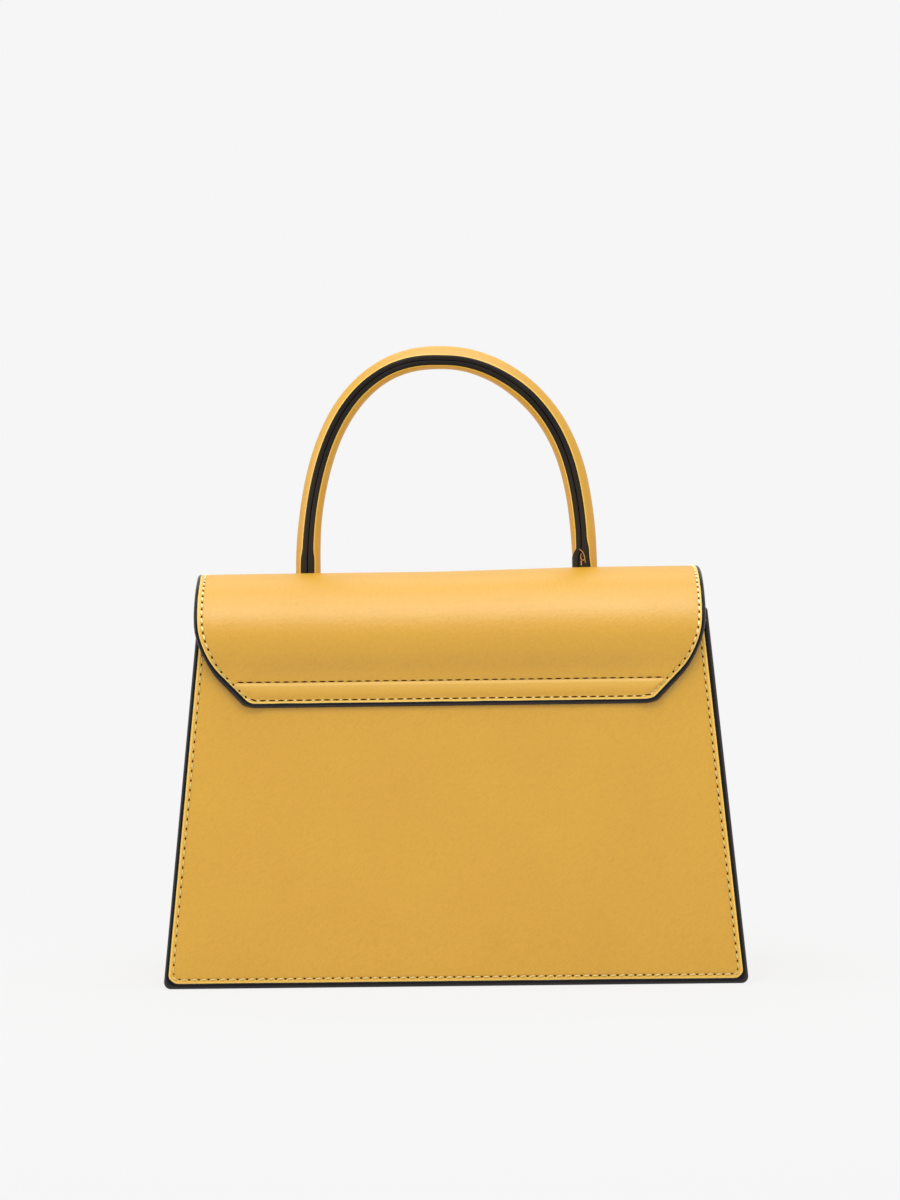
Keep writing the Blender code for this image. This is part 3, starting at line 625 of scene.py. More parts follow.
def rounded(corners):
    """An anticlockwise outline through corners given as (across, along, radius)."""
    points = []
    for index, (across, along, radius) in enumerate(corners):
        corner = Vector((across, along))
        if radius == 0:
            points.append(corner)
            continue
        before = (Vector(corners[index - 1][:2]) - corner).normalized()
        after = (Vector(corners[(index + 1) % len(corners)][:2]) - corner).normalized()
        half = before.angle(after) / 2
        centre = corner + (before + after).normalized() * (radius / math.sin(half))
        start = corner + before * (radius / math.tan(half)) - centre
        end = corner + after * (radius / math.tan(half)) - centre
        turn = math.copysign(start.angle(end), start.x * end.y - start.y * end.x)
        for step in range(CORNER_STEPS + 1):
            points.append(centre + Matrix.Rotation(turn * step / CORNER_STEPS, 2) @ start)
    return points


def moved_in(outline, distance):
    """A closed outline moved inwards by a distance, or by a function's value at each point."""
    moved = []
    for index, point in enumerate(outline):
        behind = (point - outline[index - 1]).normalized().orthogonal()
        ahead = (outline[(index + 1) % len(outline)] - point).normalized().orthogonal()
        middle = (behind + ahead).normalized()
        inwards = float(distance(point)) if callable(distance) else distance
        moved.append(point + middle * (inwards / middle.dot(behind)))
    return moved


def divided(outline, counts):
    """A closed outline with each run split into its count of equal steps."""
    points = []
    for index, point in enumerate(outline):
        ahead = outline[(index + 1) % len(outline)]
        points += [point.lerp(ahead, step / counts[index]) for step in range(counts[index])]
    return points


def run_counts(outline, spacing):
    """How many steps of about one spacing each run of a closed outline takes."""
    aheads = outline[1:] + outline[:1]
    return [max(1, round((ahead - point).length / spacing)) for point, ahead in zip(outline, aheads)]


print("points round a rounded corner:", CORNER_STEPS + 1)

# %% [markdown]
# The front and the back are cut from one template, a trapezoid. Its top corners are squarer
# than its bottom ones, as in the photo.

# %% Outline of a panel
TOP_SQUARER = 1.5 * MM


def panel_outline(corner, margin):
    """The panel's trapezoid with its own corner radius, drawn in from the outer edge."""
    low, high = half_width(0), half_width(BODY_HEIGHT)
    square = [Vector(spot) for spot in (
        (-low, 0), (low, 0), (high, BODY_HEIGHT), (-high, BODY_HEIGHT),
    )]
    return rounded([
        (spot.x, spot.y, corner if spot.y < BODY_HEIGHT / 2 else corner - TOP_SQUARER)
        for spot in moved_in(square, margin)
    ])


print("points round a panel:", len(panel_outline(BODY_CORNER, 0)))

# %% [markdown]
# The flap is a long sheet with its four corners cut off at a slant, two on the sewn tail and
# two on the free front edge. Each slant meets the end in a small round and runs into the long
# side in a wide one, which is worked out to end just below the hinge.

# %% Outline of the flap
CHAMFER_ACROSS = 0.0227
CHAMFER_ALONG = 0.0229
SIDE_STRAIGHT = 0.0015
CHAMFER_EDGE_RADIUS = 0.0075
side_turn = math.atan2(CHAMFER_ACROSS, CHAMFER_ALONG)
CHAMFER_SIDE_RADIUS = (HINGE_LENGTH - SIDE_STRAIGHT - CHAMFER_ALONG) / math.tan(side_turn / 2)


def flap_outline(start=0.0):
    """The whole flap's outline, or only what lies past a length."""
    half = FLAP_WIDTH / 2
    corners = []
    for side in (-1, 1):
        ends = [
            (side * half, CHAMFER_ALONG, CHAMFER_SIDE_RADIUS),
            (side * (half - CHAMFER_ACROSS), 0, CHAMFER_EDGE_RADIUS),
        ]
        if start > 0:
            ends = [(side * half, start, 0)]
        corners += ends if side == -1 else ends[::-1]
    for side in (1, -1):
        ends = [
            (side * half, FLAP_LENGTH - CHAMFER_ALONG, CHAMFER_SIDE_RADIUS),
            (side * (half - CHAMFER_ACROSS), FLAP_LENGTH, CHAMFER_EDGE_RADIUS),
        ]
        corners += ends if side == 1 else ends[::-1]
    return rounded(corners)


print("points round the flap:", len(flap_outline()))

# %% [markdown]
# A few helpers do the workshop's jobs. One cuts a sheet to an outline and rings its top with
# close loops, so that its edge and seams can be shaped. One slices it so that it can bend,
# because only points move, and a long face between them would stay flat.

# %% Cut and slice
ALONG_X, ALONG_Y, ALONG_Z = (1, 0, 0), (0, 1, 0), (0, 0, 1)


def pull(mesh, face, move):
    """Extrude one face by a move, and return the faces that went with it."""
    pulled = bmesh.ops.extrude_face_region(mesh, geom=[face])["geom"]
    points = [item for item in pulled if isinstance(item, bmesh.types.BMVert)]
    bmesh.ops.translate(mesh, verts=points, vec=move)
    return [item for item in pulled if isinstance(item, bmesh.types.BMFace)]


def cut_sheet(outline, thick, rings=()):
    """A flat sheet with its top at depth 0, ringed inside its edge at the given steps."""
    sheet = bmesh.new()
    under = sheet.faces.new([sheet.verts.new((*spot, thick)) for spot in outline])
    top = pull(sheet, under, (0, 0, -thick))
    for step in rings:
        bmesh.ops.inset_region(sheet, faces=top, thickness=step, use_even_offset=True)
    return sheet


def cut_levels(mesh, levels, normal):
    """Slice a mesh at levels along one direction."""
    for level in levels:
        everything = mesh.verts[:] + mesh.edges[:] + mesh.faces[:]
        spot = [level * share for share in normal]
        bmesh.ops.bisect_plane(mesh, geom=everything, plane_co=spot, plane_no=normal)
    return mesh


def slice_sheet(sheet, across, along):
    """Cut a flat mesh at the given places across and along."""
    return cut_levels(cut_levels(sheet, across, ALONG_X), along, ALONG_Y)


# %% [markdown]
# The next helpers mark a sheet's points for the finishes and bend it into place. The last makes it an
# object: faces outwards, a finish, the body that it moves with and the packed solids that it stands
# for. The flap's layers are fixed at the tail and free past the roll. The pieces given the roll are
# left in place and not attached to a body.

# %% Mark, bend and put on
SAME_POINT = 0.00001
SMOOTH_UP_TO = math.radians(48)
TOP_WITHIN = 0.0002


def flat_spots(mesh):
    """All points of a mesh that still lies in pattern space."""
    return np.array([vertex.co[:] for vertex in mesh.verts])


def mark(mesh, name, values):
    """Give every point of a mesh a value of its own, for a finish to read."""
    layer = mesh.verts.layers.float.new(name)
    for vertex, value in zip(mesh.verts, values):
        vertex[layer] = value
    return mesh


def bend(mesh, place, relief=None):
    """Raise the top by its relief, and then send every point to its place."""
    spots = flat_spots(mesh)
    if relief is not None:
        top = spots[:, 2] < TOP_WITHIN
        spots[top, 2] -= relief(spots[top])
    for vertex, spot in zip(mesh.verts, place(spots)):
        vertex.co = spot
    return mesh


def put_on(mesh, name, finish, body, slot, *stands_for):
    """Make the mesh a piece of the bag: finished, facing outwards and moving with a body, or left in
    place for the roll.
    """
    if mesh.calc_volume(signed=True) < 0:
        bmesh.ops.reverse_faces(mesh, faces=mesh.faces)
    data = bpy.data.meshes.new(name)
    mesh.to_mesh(data)
    mesh.free()
    data.shade_smooth()
    data.set_sharp_from_angle(angle=SMOOTH_UP_TO)
    data.materials.append(finish)
    piece = bpy.data.objects.new(name, data)
    bpy.context.scene.collection.objects.link(piece)
    if body == "roll":
        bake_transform(piece)
    else:
        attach(piece, body)
    if stands_for:
        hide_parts(*stands_for)
    print(name, "has", len(data.polygons), "faces")
    return piece


# %% [markdown]
# Leather next to a seam isn't flat. Its cut edge is rounded over before it is painted, the
# thread pulls a groove along each row, and a stiff panel still swells and waves by parts of
# a millimetre. All of it is a height over the flat pattern, worked out for all points at once.

# %% Relief of sewn leather
EDGE_ROUND = 0.9 * MM
EDGE_FALL = 0.22 * MM
GROOVE_DEPTH = 0.28 * MM
GROOVE_HALF = 0.50 * MM
SWELL_REACH = 18 * MM
WAVE_SIZE = 45 * MM
WAVE_HEIGHT = 0.12 * MM
CREASE_HIGHLIGHT_INSIDE = (0.40 * MM, 0.90 * MM)
SHEEN_STRIP_INSIDE = (1.0 * MM, 2.2 * MM)
RINGS = [step * MM for step in (0.2, 0.25, 0.3, 0.35, 0.35, 0.3, 0.25, 0.25, 0.3, 0.45)]


def edge_distance(spots, outline):
    """How far each flat spot lies from the nearest run of a closed outline."""
    starts = np.array([spot[:] for spot in outline])
    runs = np.roll(starts, -1, axis=0) - starts
    nearest = np.full(len(spots), np.inf)
    for start, run in zip(starts, runs):
        share = np.clip((spots[:, :2] - start) @ run / (run @ run), 0, 1)
        gaps = spots[:, :2] - start - share[:, None] * run
        nearest = np.minimum(nearest, np.linalg.norm(gaps, axis=1))
    return nearest


def waviness(spots, size, height, seed):
    """Slow random unevenness of a hand-made surface."""
    return np.array([
        height * noise.noise(Vector((x / size, y / size, seed))) for x, y, _ in spots
    ])


def sewn_relief(outline, row, bulge, seed):
    """The relief of a sewn sheet: rounded edge, seam groove, swelling and waviness."""
    def relief(spots):
        inside = edge_distance(spots, outline)
        edge = EDGE_FALL * np.clip(1 - inside / EDGE_ROUND, 0, 1) ** 2
        groove = GROOVE_DEPTH * np.exp(-(edge_distance(spots, row) / GROOVE_HALF) ** 2)
        swell = bulge * (1 - np.exp(-inside / SWELL_REACH))
        return swell - edge - groove + waviness(spots, WAVE_SIZE, WAVE_HEIGHT, seed)
    return relief


def mark_edge_sheen(mesh, outline):
    """Mark the crease beside the paint for a painted highlight as 1, and the strip inside it for a
    painted sheen as less.
    """
    inside = edge_distance(flat_spots(mesh), outline)
    crease = 1 - soft_step(inside, *CREASE_HIGHLIGHT_INSIDE)
    strip = 1 - soft_step(inside, *SHEEN_STRIP_INSIDE)
    return mark(mesh, "pressed", SHEEN_STRIP_MARK * strip + (1 - SHEEN_STRIP_MARK) * crease)


print("loops reach", round(sum(RINGS) / MM, 1), "mm in from an edge")

# %% [markdown]
# The two panels are the same template. The leather's own corners are cut rounder than the
# painted edge, and the coats are wider at the bottom and on the right, as in the photo. Loops
# run close together near the edge and a coarse grid covers the rest.

# %% Panel leather
LEATHER_CORNER = 0.0042
PANEL_BULGE = 0.45 * MM
UNDER_RIM = RIM - 0.1 * MM
BOTTOM_PAINT = 0.67 * MM
RIGHT_PAINT = 0.35 * MM
RIGHT_PROUD = 0.45 * MM
BOTTOM_PAINT_UP_TO = (2.5 * MM, 5.5 * MM)
BOTTOM_ROW_UP_TO = (3 * MM, 6 * MM)
LEATHER_GRID = 4.5 * MM
PANEL_ROW_SIDE = 1.92 * MM
PANEL_ROW_BOTTOM = 1.7 * MM


def more_paint(point):
    """The paint is brushed on wider along the bottom and on the right."""
    at_bottom = 1 - soft_step(point.y, *BOTTOM_PAINT_UP_TO)
    return BOTTOM_PAINT * at_bottom + RIGHT_PAINT * (1 - at_bottom) * (point.x > 0)


def row_from_skin(point):
    """How far the panel's stitches lie inside the leather's cut edge."""
    at_bottom = 1 - soft_step(point.y, *BOTTOM_ROW_UP_TO)
    return PANEL_ROW_SIDE + (PANEL_ROW_BOTTOM - PANEL_ROW_SIDE) * at_bottom


def steps_between(low, high, spacing):
    """Even places between two ends, without the ends."""
    count = max(2, round((high - low) / spacing))
    return [low + (high - low) * step / count for step in range(1, count)]


skin_outline = moved_in(panel_outline(LEATHER_CORNER, UNDER_RIM), more_paint)
panel_row = moved_in(skin_outline, row_from_skin)
for side, word in ((BACK, "back"), (FRONT, "front")):
    panel = cut_sheet(skin_outline, LEATHER, RINGS)
    slice_sheet(
        panel,
        steps_between(-half_width(0), half_width(0), LEATHER_GRID),
        steps_between(0, BODY_HEIGHT, LEATHER_GRID),
    )
    mark_edge_sheen(panel, skin_outline)
    bend(panel, on_panel(side), sewn_relief(skin_outline, panel_row, PANEL_BULGE, side))
    put_on(panel, word + "_leather", YELLOW_LEATHER, "bag_body", "leather", word + "_panel")

# %% [markdown]
# The painted edge is a rounded bead pulled round the panel. Its section is a row of points,
# each a share of the way from the inner to the outer outline and from the face to the back
# of the edge. The section is one small face that is extruded from step to step, and the
# brush's uneven load widens and narrows it a little.

# %% Painted edges
RIM_SECTION = (
    (0.0, 0.10), (0.12, 0.0), (0.35, -0.03), (0.60, 0.02), (0.82, 0.14), (0.95, 0.31),
    (1.0, 0.5), (0.95, 0.69), (0.82, 0.86), (0.60, 0.98), (0.30, 1.0), (0.0, 1.0),
)
RIM_OVERLAP = 0.15 * MM
RIM_SPACING = 4.0 * MM
BRUSH_WAVE = 0.13 * MM
BRUSH_WAVES_PER_METRE = 90


def pulled_section(rings, closed):
    """A mesh through a row of like rings: a face pulled from ring to ring."""
    mesh = bmesh.new()
    first = mesh.faces.new([mesh.verts.new(point) for point in rings[0]])
    face = first
    for ring in rings[1:]:
        pulled = bmesh.ops.extrude_face_region(mesh, geom=[face])["geom"]
        if face is not first:
            bmesh.ops.delete(mesh, geom=[face], context="FACES_ONLY")
        face = next(item for item in pulled if isinstance(item, bmesh.types.BMFace))
        for vertex, point in zip(face.verts, ring):
            vertex.co = point
    if closed:
        bmesh.ops.delete(mesh, geom=[first, face], context="FACES_ONLY")
        bmesh.ops.remove_doubles(mesh, verts=mesh.verts, dist=SAME_POINT)
    bmesh.ops.recalc_face_normals(mesh, faces=mesh.faces)
    return mesh


def painted_rim(outer, inner, thick, spacing, seed):
    """A closed bead between two matching outlines, in pattern space."""
    counts = run_counts(outer, spacing)
    rings = []
    for out, within in zip(divided(outer, counts), divided(inner, counts)):
        load = noise.noise(Vector((*(out * BRUSH_WAVES_PER_METRE), seed)))
        brush = load * BRUSH_WAVE
        inwards = (within - out).normalized() * brush
        ring = []
        for share, deep in RIM_SECTION:
            flat = within.lerp(out, share) + inwards * (1 - share)
            ring.append(Vector((*flat, deep * thick)))
        rings.append(ring)
    rings.append(rings[0])
    rim = pulled_section(rings, True)
    # The share towards the outer edge, where the paint's finish lays its painted reflection.
    to_outer, to_inner = (edge_distance(flat_spots(rim), line) for line in (outer, inner))
    return mark(rim, "outer", to_inner / (to_outer + to_inner))


def proud_on_right(point):
    """The right side's coats also stand out a little towards the top."""
    return -RIGHT_PROUD * (point.x > 0) * (point.y > BODY_HEIGHT / 2)


outer_panel = moved_in(panel_outline(BODY_CORNER, 0), proud_on_right)
inner_panel = moved_in(panel_outline(LEATHER_CORNER, UNDER_RIM + RIM_OVERLAP), more_paint)
for side, word in ((BACK, "back"), (FRONT, "front")):
    rim = painted_rim(outer_panel, inner_panel, PANEL_THICK, RIM_SPACING, side)
    bend(rim, on_panel(side))
    put_on(rim, word + "_painted_rim", BLACK_PAINT, "bag_body", "edge_paint", word + "_edge")

# %% [markdown]
# Saddle stitches lie end to end, each slanting a little across its row and diving into a needle hole
# at both ends. One stitch is a flattened sphere of a few dozen faces, repeated along the row. Each
# hole is a small dark pod between two stitches, a painted shade for the hollow of the hole. They are
# laid out in pattern space too, so they follow every bend of the leather under them.

# %% Stitches
THREAD_FACES = (7, 5)
HOLE_FACES = (6, 4)
ROW_STEP = 0.2 * MM
ROW_REACH = 0.4 * MM
JITTER_STEP = 1.7
JITTER_SEED = 0.3


def row_spots(row, pitch, closed):
    """Spots along a row, pitch(across, along) apart, each with the row's direction there."""
    points = np.array([spot[:] for spot in (row + row[:1] if closed else row)])
    lengths = running_length(points)
    fine = np.arange(0, lengths[-1], ROW_STEP)
    stitches = np.cumsum(ROW_STEP / pitch(*read_along(fine, lengths, points)))
    count = round(stitches[-1])
    places = np.interp((np.arange(count) + 0.5) * stitches[-1] / count, stitches, fine)
    spots = []
    for place in places:
        low, high = (
            Vector(read_along(place + shift, lengths, points)) for shift in (-ROW_REACH, ROW_REACH)
        )
        spots.append(((low + high) / 2, math.atan2(high.y - low.y, high.x - low.x)))
    return spots


def lay_pods(mesh, spots, size, slant, deep, faces, jitter=0.0):
    """Put a small flattened sphere of (length, width, height) at every spot."""
    for index, (spot, turn) in enumerate(spots):
        shift = noise.noise(Vector((index * JITTER_STEP, slant, JITTER_SEED))) * jitter
        place = Matrix.Translation((spot.x, spot.y, deep))
        turned = Matrix.Rotation(turn + slant + shift, 4, "Z")
        scaled = Matrix.Diagonal((*(side / 2 for side in size), 1))
        bmesh.ops.create_uvsphere(
            mesh, u_segments=faces[0], v_segments=faces[1], radius=1,
            matrix=place @ turned @ scaled,
        )
    return mesh


def between(spots):
    """The spots halfway from each spot to the next, round a closed row."""
    middles = []
    for (spot, turn), (ahead, _) in zip(spots, spots[1:] + spots[:1]):
        middles.append(((spot + ahead) / 2, turn))
    return middles


# %% [markdown]
# On the panels half of the thread's height lies in the leather, and the thread carries painted shade
# for it. The stitches are a little longer on the left than on the right, as counted in the photo, and
# the leather under them has already swelled a bit at the row, so they are lifted by as much.

# %% Panel stitches
STITCH_SLANT = math.radians(9)
THREAD_JITTER = 0.12
PANEL_STITCH = (2.5 * MM, 0.80 * MM, 0.75 * MM)
PANEL_HOLE = (1.15 * MM, 0.80 * MM, 0.46 * MM)
PANEL_THREAD_SHADE = 0.6
THREAD_DEEP = 0.02 * MM
HOLE_DEEP = 0.16 * MM
ROW_INSIDE = 1.8 * MM
PANEL_PITCH = 4.0 * MM
PITCH_CHANGE = 0.21 * MM
PITCH_CHANGE_BY = 0.11


def panel_pitch(across, _):
    """The panel's stitches are a little longer on its left than on its right."""
    return PANEL_PITCH - PITCH_CHANGE * np.clip(across / PITCH_CHANGE_BY, -1, 1)


for side, word in ((BACK, "back"), (FRONT, "front")):
    spots = row_spots(panel_row, panel_pitch, True)
    threads = lay_pods(
        bmesh.new(), spots, PANEL_STITCH, STITCH_SLANT, THREAD_DEEP, THREAD_FACES, THREAD_JITTER)
    # Painted shade on the half-sunk panel thread.
    mark(threads, "sunk_shade", [PANEL_THREAD_SHADE] * len(threads.verts))
    # Painted shade: a dark pod stands for the shade inside each needle hole.
    holes = lay_pods(bmesh.new(), between(spots), PANEL_HOLE, 0, HOLE_DEEP, HOLE_FACES)
    swell = PANEL_BULGE * (1 - math.exp(-ROW_INSIDE / SWELL_REACH))
    for mesh in (threads, holes):
        bmesh.ops.translate(mesh, verts=mesh.verts, vec=(0, 0, -swell))
        bend(mesh, on_panel(side))
    put_on(threads, word + "_stitches", SEWING_THREAD, "bag_body", "core")
    put_on(holes, word + "_needle_hole_shades", NEEDLE_HOLE_SHADE, "bag_body", "leather")

# %% [markdown]
# Paint and thread don't keep one distance from the flap's edge. In the photo the paint is
# narrower round the right corners, and the row lies further in on the left side. One
# function gives such a width for every point of the outline, and each line is the outline
# moved in by it.

# %% Widths round the flap
PAST_END = (0, 2.0 * MM)
PAST_CORNER = (10 * MM, 23 * MM)
FLAP_BULGE = 0.15 * MM
FLAP_SEED = 5


def round_flap(end, corner, side):
    """A width in mm round the flap: at its ends, and (left, right) at its corners and sides."""
    def width(point):
        from_end = min(point.y, FLAP_LENGTH - point.y)
        right = int(point.x > 0)
        past_end = soft_step(from_end, *PAST_END)
        past_corner = soft_step(from_end, *PAST_CORNER)
        around = corner[right] + (side[right] - corner[right]) * past_corner
        return (end + (around - end) * past_end) * MM
    return width


flap_paint = round_flap(1.75, (1.8, 1.3), (1.9, 1.65))
flap_inner = moved_in(flap_outline(), flap_paint)
flap_skin = moved_in(flap_outline(), lambda point: flap_paint(point) - RIM_OVERLAP)
flap_row = moved_in(flap_outline(), round_flap(2.8, (2.5, 2.75), (3.75, 2.7)))
flap_sewn = sewn_relief(flap_skin, flap_row, FLAP_BULGE, FLAP_SEED)
print("points round the flap's row:", len(flap_row))

# %% [markdown]
# The flap's leather is one piece, as on the real bag, while the imported model splits it at the roll
# because solids can't bend. Its relief adds a second groove across the sewn tail, and the strip
# between the two rows puffs up. The strip's upper end carries a painted highlight along the fold: a
# thin pale line with a soft painted glow below it.

# %% Flap leather
LOW_ROW_ALONG = 2.8 * MM
TAIL_ROW_ALONG = 10.9 * MM
TAIL_GROOVE_HALF = 0.7 * MM
TAIL_GROOVE_DEPTH = 0.30 * MM
TAIL_PUFF = 0.40 * MM
PUFF_FULLNESS = 0.55
PUFF_INSIDE = (1.6 * MM, 3.6 * MM)
FOLD_UNDER_ROW = 1.0 * MM
FOLD_HALF = 0.5 * MM
FOLD_HIGHLIGHT_LINE = 0.5
FOLD_FADE = 5.5 * MM
FOLD_HIGHLIGHT_GLOW = 0.28
TAIL_CUTS_FROM = 5 * MM
TAIL_CUTS_TO = 14 * MM
TAIL_CUTS_APART = 0.55 * MM


def flap_relief(spots):
    """The flap's relief, with the row across its tail and the puffed strip under it."""
    height = flap_sewn(spots)
    along = spots[:, 1]
    reach = soft_step(edge_distance(spots, flap_skin), *PUFF_INSIDE)
    row = np.exp(-((along - TAIL_ROW_ALONG) / TAIL_GROOVE_HALF) ** 2)
    strip = np.clip((along - LOW_ROW_ALONG) / (TAIL_ROW_ALONG - LOW_ROW_ALONG), 0, 1)
    puff = TAIL_PUFF * np.sin(math.pi * strip) ** PUFF_FULLNESS
    return height + reach * (puff - TAIL_GROOVE_DEPTH * row)


tail_cuts = steps_between(TAIL_CUTS_FROM, TAIL_CUTS_TO, TAIL_CUTS_APART)
roll_cuts = [length for length in FLAP_LENGTHS[1:-1] if length > TAIL_CUTS_TO]
front_cuts = steps_between(roll_cuts[-1], FLAP_LENGTH, LEATHER_GRID)
across_cuts = steps_between(-FLAP_WIDTH / 2, FLAP_WIDTH / 2, LEATHER_GRID)
flap_leather = cut_sheet(flap_skin, LEATHER, RINGS)
slice_sheet(flap_leather, across_cuts, tail_cuts + roll_cuts + front_cuts)
mark_edge_sheen(flap_leather, flap_skin)
# Painted highlight along the fold: a thin pale line, and a soft painted glow below it.
from_fold = flat_spots(flap_leather)[:, 1] - (TAIL_ROW_ALONG - FOLD_UNDER_ROW)
glow = soft_step(-from_fold, FOLD_FADE, 0) * (from_fold < 0)
line = FOLD_HIGHLIGHT_LINE * np.exp(-(from_fold / FOLD_HALF) ** 2)
mark(flap_leather, "fold", line + FOLD_HIGHLIGHT_GLOW * glow)
bend(flap_leather, on_flap, flap_relief)
put_on(flap_leather, "flap_leather", YELLOW_LEATHER, "roll", "leather", "flap_tail", "flap_cover")

# %% [markdown]
# The flap's painted edge goes all the way round: along the sewn tail, up both sides over the
# roll and round the free front edge. It is the same bead, pulled in pattern space with steps
# as short as the roll's, so that it bends smoothly. Round the slanting corners the coats lie
# thickest, so the bead stands out further there, and a little on the right side too.

# %% Flap edge
FLAP_RIM_SPACING = 2.0 * MM
FLAP_RIM_SEED = 9

flap_outer = moved_in(flap_outline(), round_flap(-0.3, (-0.92, -1.05), (0.15, -0.2)))
flap_rim = painted_rim(flap_outer, flap_inner, FLAP_THICK, FLAP_RIM_SPACING, FLAP_RIM_SEED)
bend(flap_rim, on_flap)
put_on(flap_rim, "flap_painted_rim", BLACK_PAINT, "roll", "edge_paint", "flap_edge", "flap_tail_edge")

# %% [markdown]
# Two rows hold the tail: the row round the flap's edge goes through the back panel there,
# and a second one runs straight across, about 11 mm above the edge. The spots of both rows
# are sorted by what the photo shows at them.

# %% Flap rows
TAIL_PITCH = 3.95 * MM
TAIL_ROW_HALF = 94.9 * MM
ON_TAIL = 4 * MM
CORNER_FROM = 4.5 * MM
CORNER_TO = 10 * MM
LOW_SLOT_SHIFT = Vector((0, 0.12 * MM))
FLAP_PITCH = 3.8 * MM
LONGER_ON_TAIL = 0.2 * MM
SHORTER_ON_RIGHT = 0.55 * MM
SHORTER_ACROSS = (95 * MM, 107 * MM)
SHORTER_ALONG = (18 * MM, 48 * MM)


def flap_pitch(across, along):
    """How far apart the stitches are: more along the tail, less up the right side."""
    shorter = soft_step(across, *SHORTER_ACROSS) * soft_step(along, *SHORTER_ALONG)
    return FLAP_PITCH + LONGER_ON_TAIL * (along < ON_TAIL) - SHORTER_ON_RIGHT * shorter


def tail_pitch(across, _):
    """The stitches of the upper row are evenly spaced."""
    return np.full_like(across, TAIL_PITCH)


edge_spots = row_spots(flap_row, flap_pitch, True)
edge_gaps = between(edge_spots)
on_tail = [spot for spot in edge_spots if spot[0].y < ON_TAIL]
elsewhere = [spot for spot in edge_spots if spot[0].y >= ON_TAIL]
tail_row = [Vector((side * TAIL_ROW_HALF, TAIL_ROW_ALONG)) for side in (-1, 1)]
tail_spots = row_spots(tail_row, tail_pitch, False)
low_slots = [(spot + LOW_SLOT_SHIFT, turn) for spot, turn in edge_gaps if spot.y < ON_TAIL]
corner_spots = [
    spot for spot in edge_gaps if CORNER_FROM <= spot[0].y < CORNER_TO and spot[0].x > 0
]
round_holes = [
    spot for spot in edge_gaps if spot[0].y >= ON_TAIL and spot not in corner_spots
]
print("stitches round the flap and in the upper row:", len(edge_spots), len(tail_spots))

# %% [markdown]
# Across the tail the thread sits deep and short, with painted shade on it, between long slots of
# painted shade. At the right corner the photo shows pale backstitches where the row was locked, and
# up the sides the stitches are long and proud, with painted shade on them near the flap's ends.

# %% Flap stitches
FLAP_STITCH = (2.4 * MM, 0.92 * MM, 0.80 * MM)
FLAP_HOLE = (1.15 * MM, 0.95 * MM, 0.46 * MM)
TAIL_STITCH = (1.45 * MM, 0.78 * MM, 0.64 * MM)
TAIL_SLOT = (3.2 * MM, 0.68 * MM, 0.50 * MM)
BACKSTITCH = (1.7 * MM, 0.60 * MM, 0.60 * MM)
TAIL_THREAD_DEEP = 0.10 * MM
TAIL_SLOT_DEEP = 0.14 * MM
TAIL_JITTER = 0.15
BACKSTITCH_JITTER = 0.3
SIDE_THREAD_SHADE = 0.85
SIDE_THREAD_SHADE_UP_TO = (18 * MM, 36 * MM)
UPPER_ROW_SHADE = 1.0
LOWER_ROW_SHADE = 0.55

side_threads = lay_pods(
    bmesh.new(), elsewhere, FLAP_STITCH, STITCH_SLANT, THREAD_DEEP, THREAD_FACES, THREAD_JITTER)
tail_threads = lay_pods(
    bmesh.new(), on_tail + tail_spots, TAIL_STITCH, STITCH_SLANT, TAIL_THREAD_DEEP, THREAD_FACES,
    TAIL_JITTER)
lay_pods(
    tail_threads, corner_spots, BACKSTITCH, -2 * STITCH_SLANT, 0, THREAD_FACES, BACKSTITCH_JITTER)
# Painted shade on the thread where it sinks in: near the flap's ends and across the tail.
from_end = flat_spots(side_threads)[:, 1]
from_end = np.minimum(from_end, FLAP_LENGTH - from_end)
mark(side_threads, "sunk_shade", SIDE_THREAD_SHADE * (1 - soft_step(from_end, *SIDE_THREAD_SHADE_UP_TO)))
in_upper_row = flat_spots(tail_threads)[:, 1] > (LOW_ROW_ALONG + TAIL_ROW_ALONG) / 2
mark(tail_threads, "sunk_shade", np.where(in_upper_row, UPPER_ROW_SHADE, LOWER_ROW_SHADE))
# Painted shade in the holes up the sides and in the long slots across the tail.
side_holes = lay_pods(bmesh.new(), round_holes, FLAP_HOLE, 0, HOLE_DEEP, HOLE_FACES)
tail_slots = lay_pods(
    bmesh.new(), low_slots + between(tail_spots)[:-1], TAIL_SLOT, 0, TAIL_SLOT_DEEP, HOLE_FACES)
for mesh, name, finish, body, slot in (
    (side_threads, "flap_stitches", SEWING_THREAD, "roll", "core"),
    (side_holes, "flap_needle_hole_shades", NEEDLE_HOLE_SHADE, "roll", "leather"),
    (tail_threads, "tail_stitches", SEWING_THREAD, "bag_body", "core"),
    (tail_slots, "tail_needle_slot_shades", NEEDLE_HOLE_SHADE, "bag_body", "leather"),
):
    put_on(bend(mesh, on_flap), name, finish, body, slot)

# %% [markdown]
# Under the leather lie the tail's backing, the flap's board and its lining. They only show
# on the opened flap, but a bag without them would open as an empty skin. The lining hangs a
# little lower under the ridge, where the handle's tabs and rivets are.

# %% Flap layers
BOARD_DEEP = 1.7 * MM
BOARD_THICK = 1.0 * MM
LINING_DEEP = 3.0 * MM
LINING_DROP = 2.7 * MM
DROP_HALF = 104.7 * MM
DROP_FADE = 18 * MM
LAYER_GRID = 9 * MM
COARSE_ACROSS = steps_between(-FLAP_WIDTH / 2, FLAP_WIDTH / 2, LAYER_GRID)
COARSE_ALONG = [*FLAP_LENGTHS[1:-1:2], *steps_between(roll_cuts[-1], FLAP_LENGTH, LAYER_GRID)]
BACKING_CORNER = 2 * MM


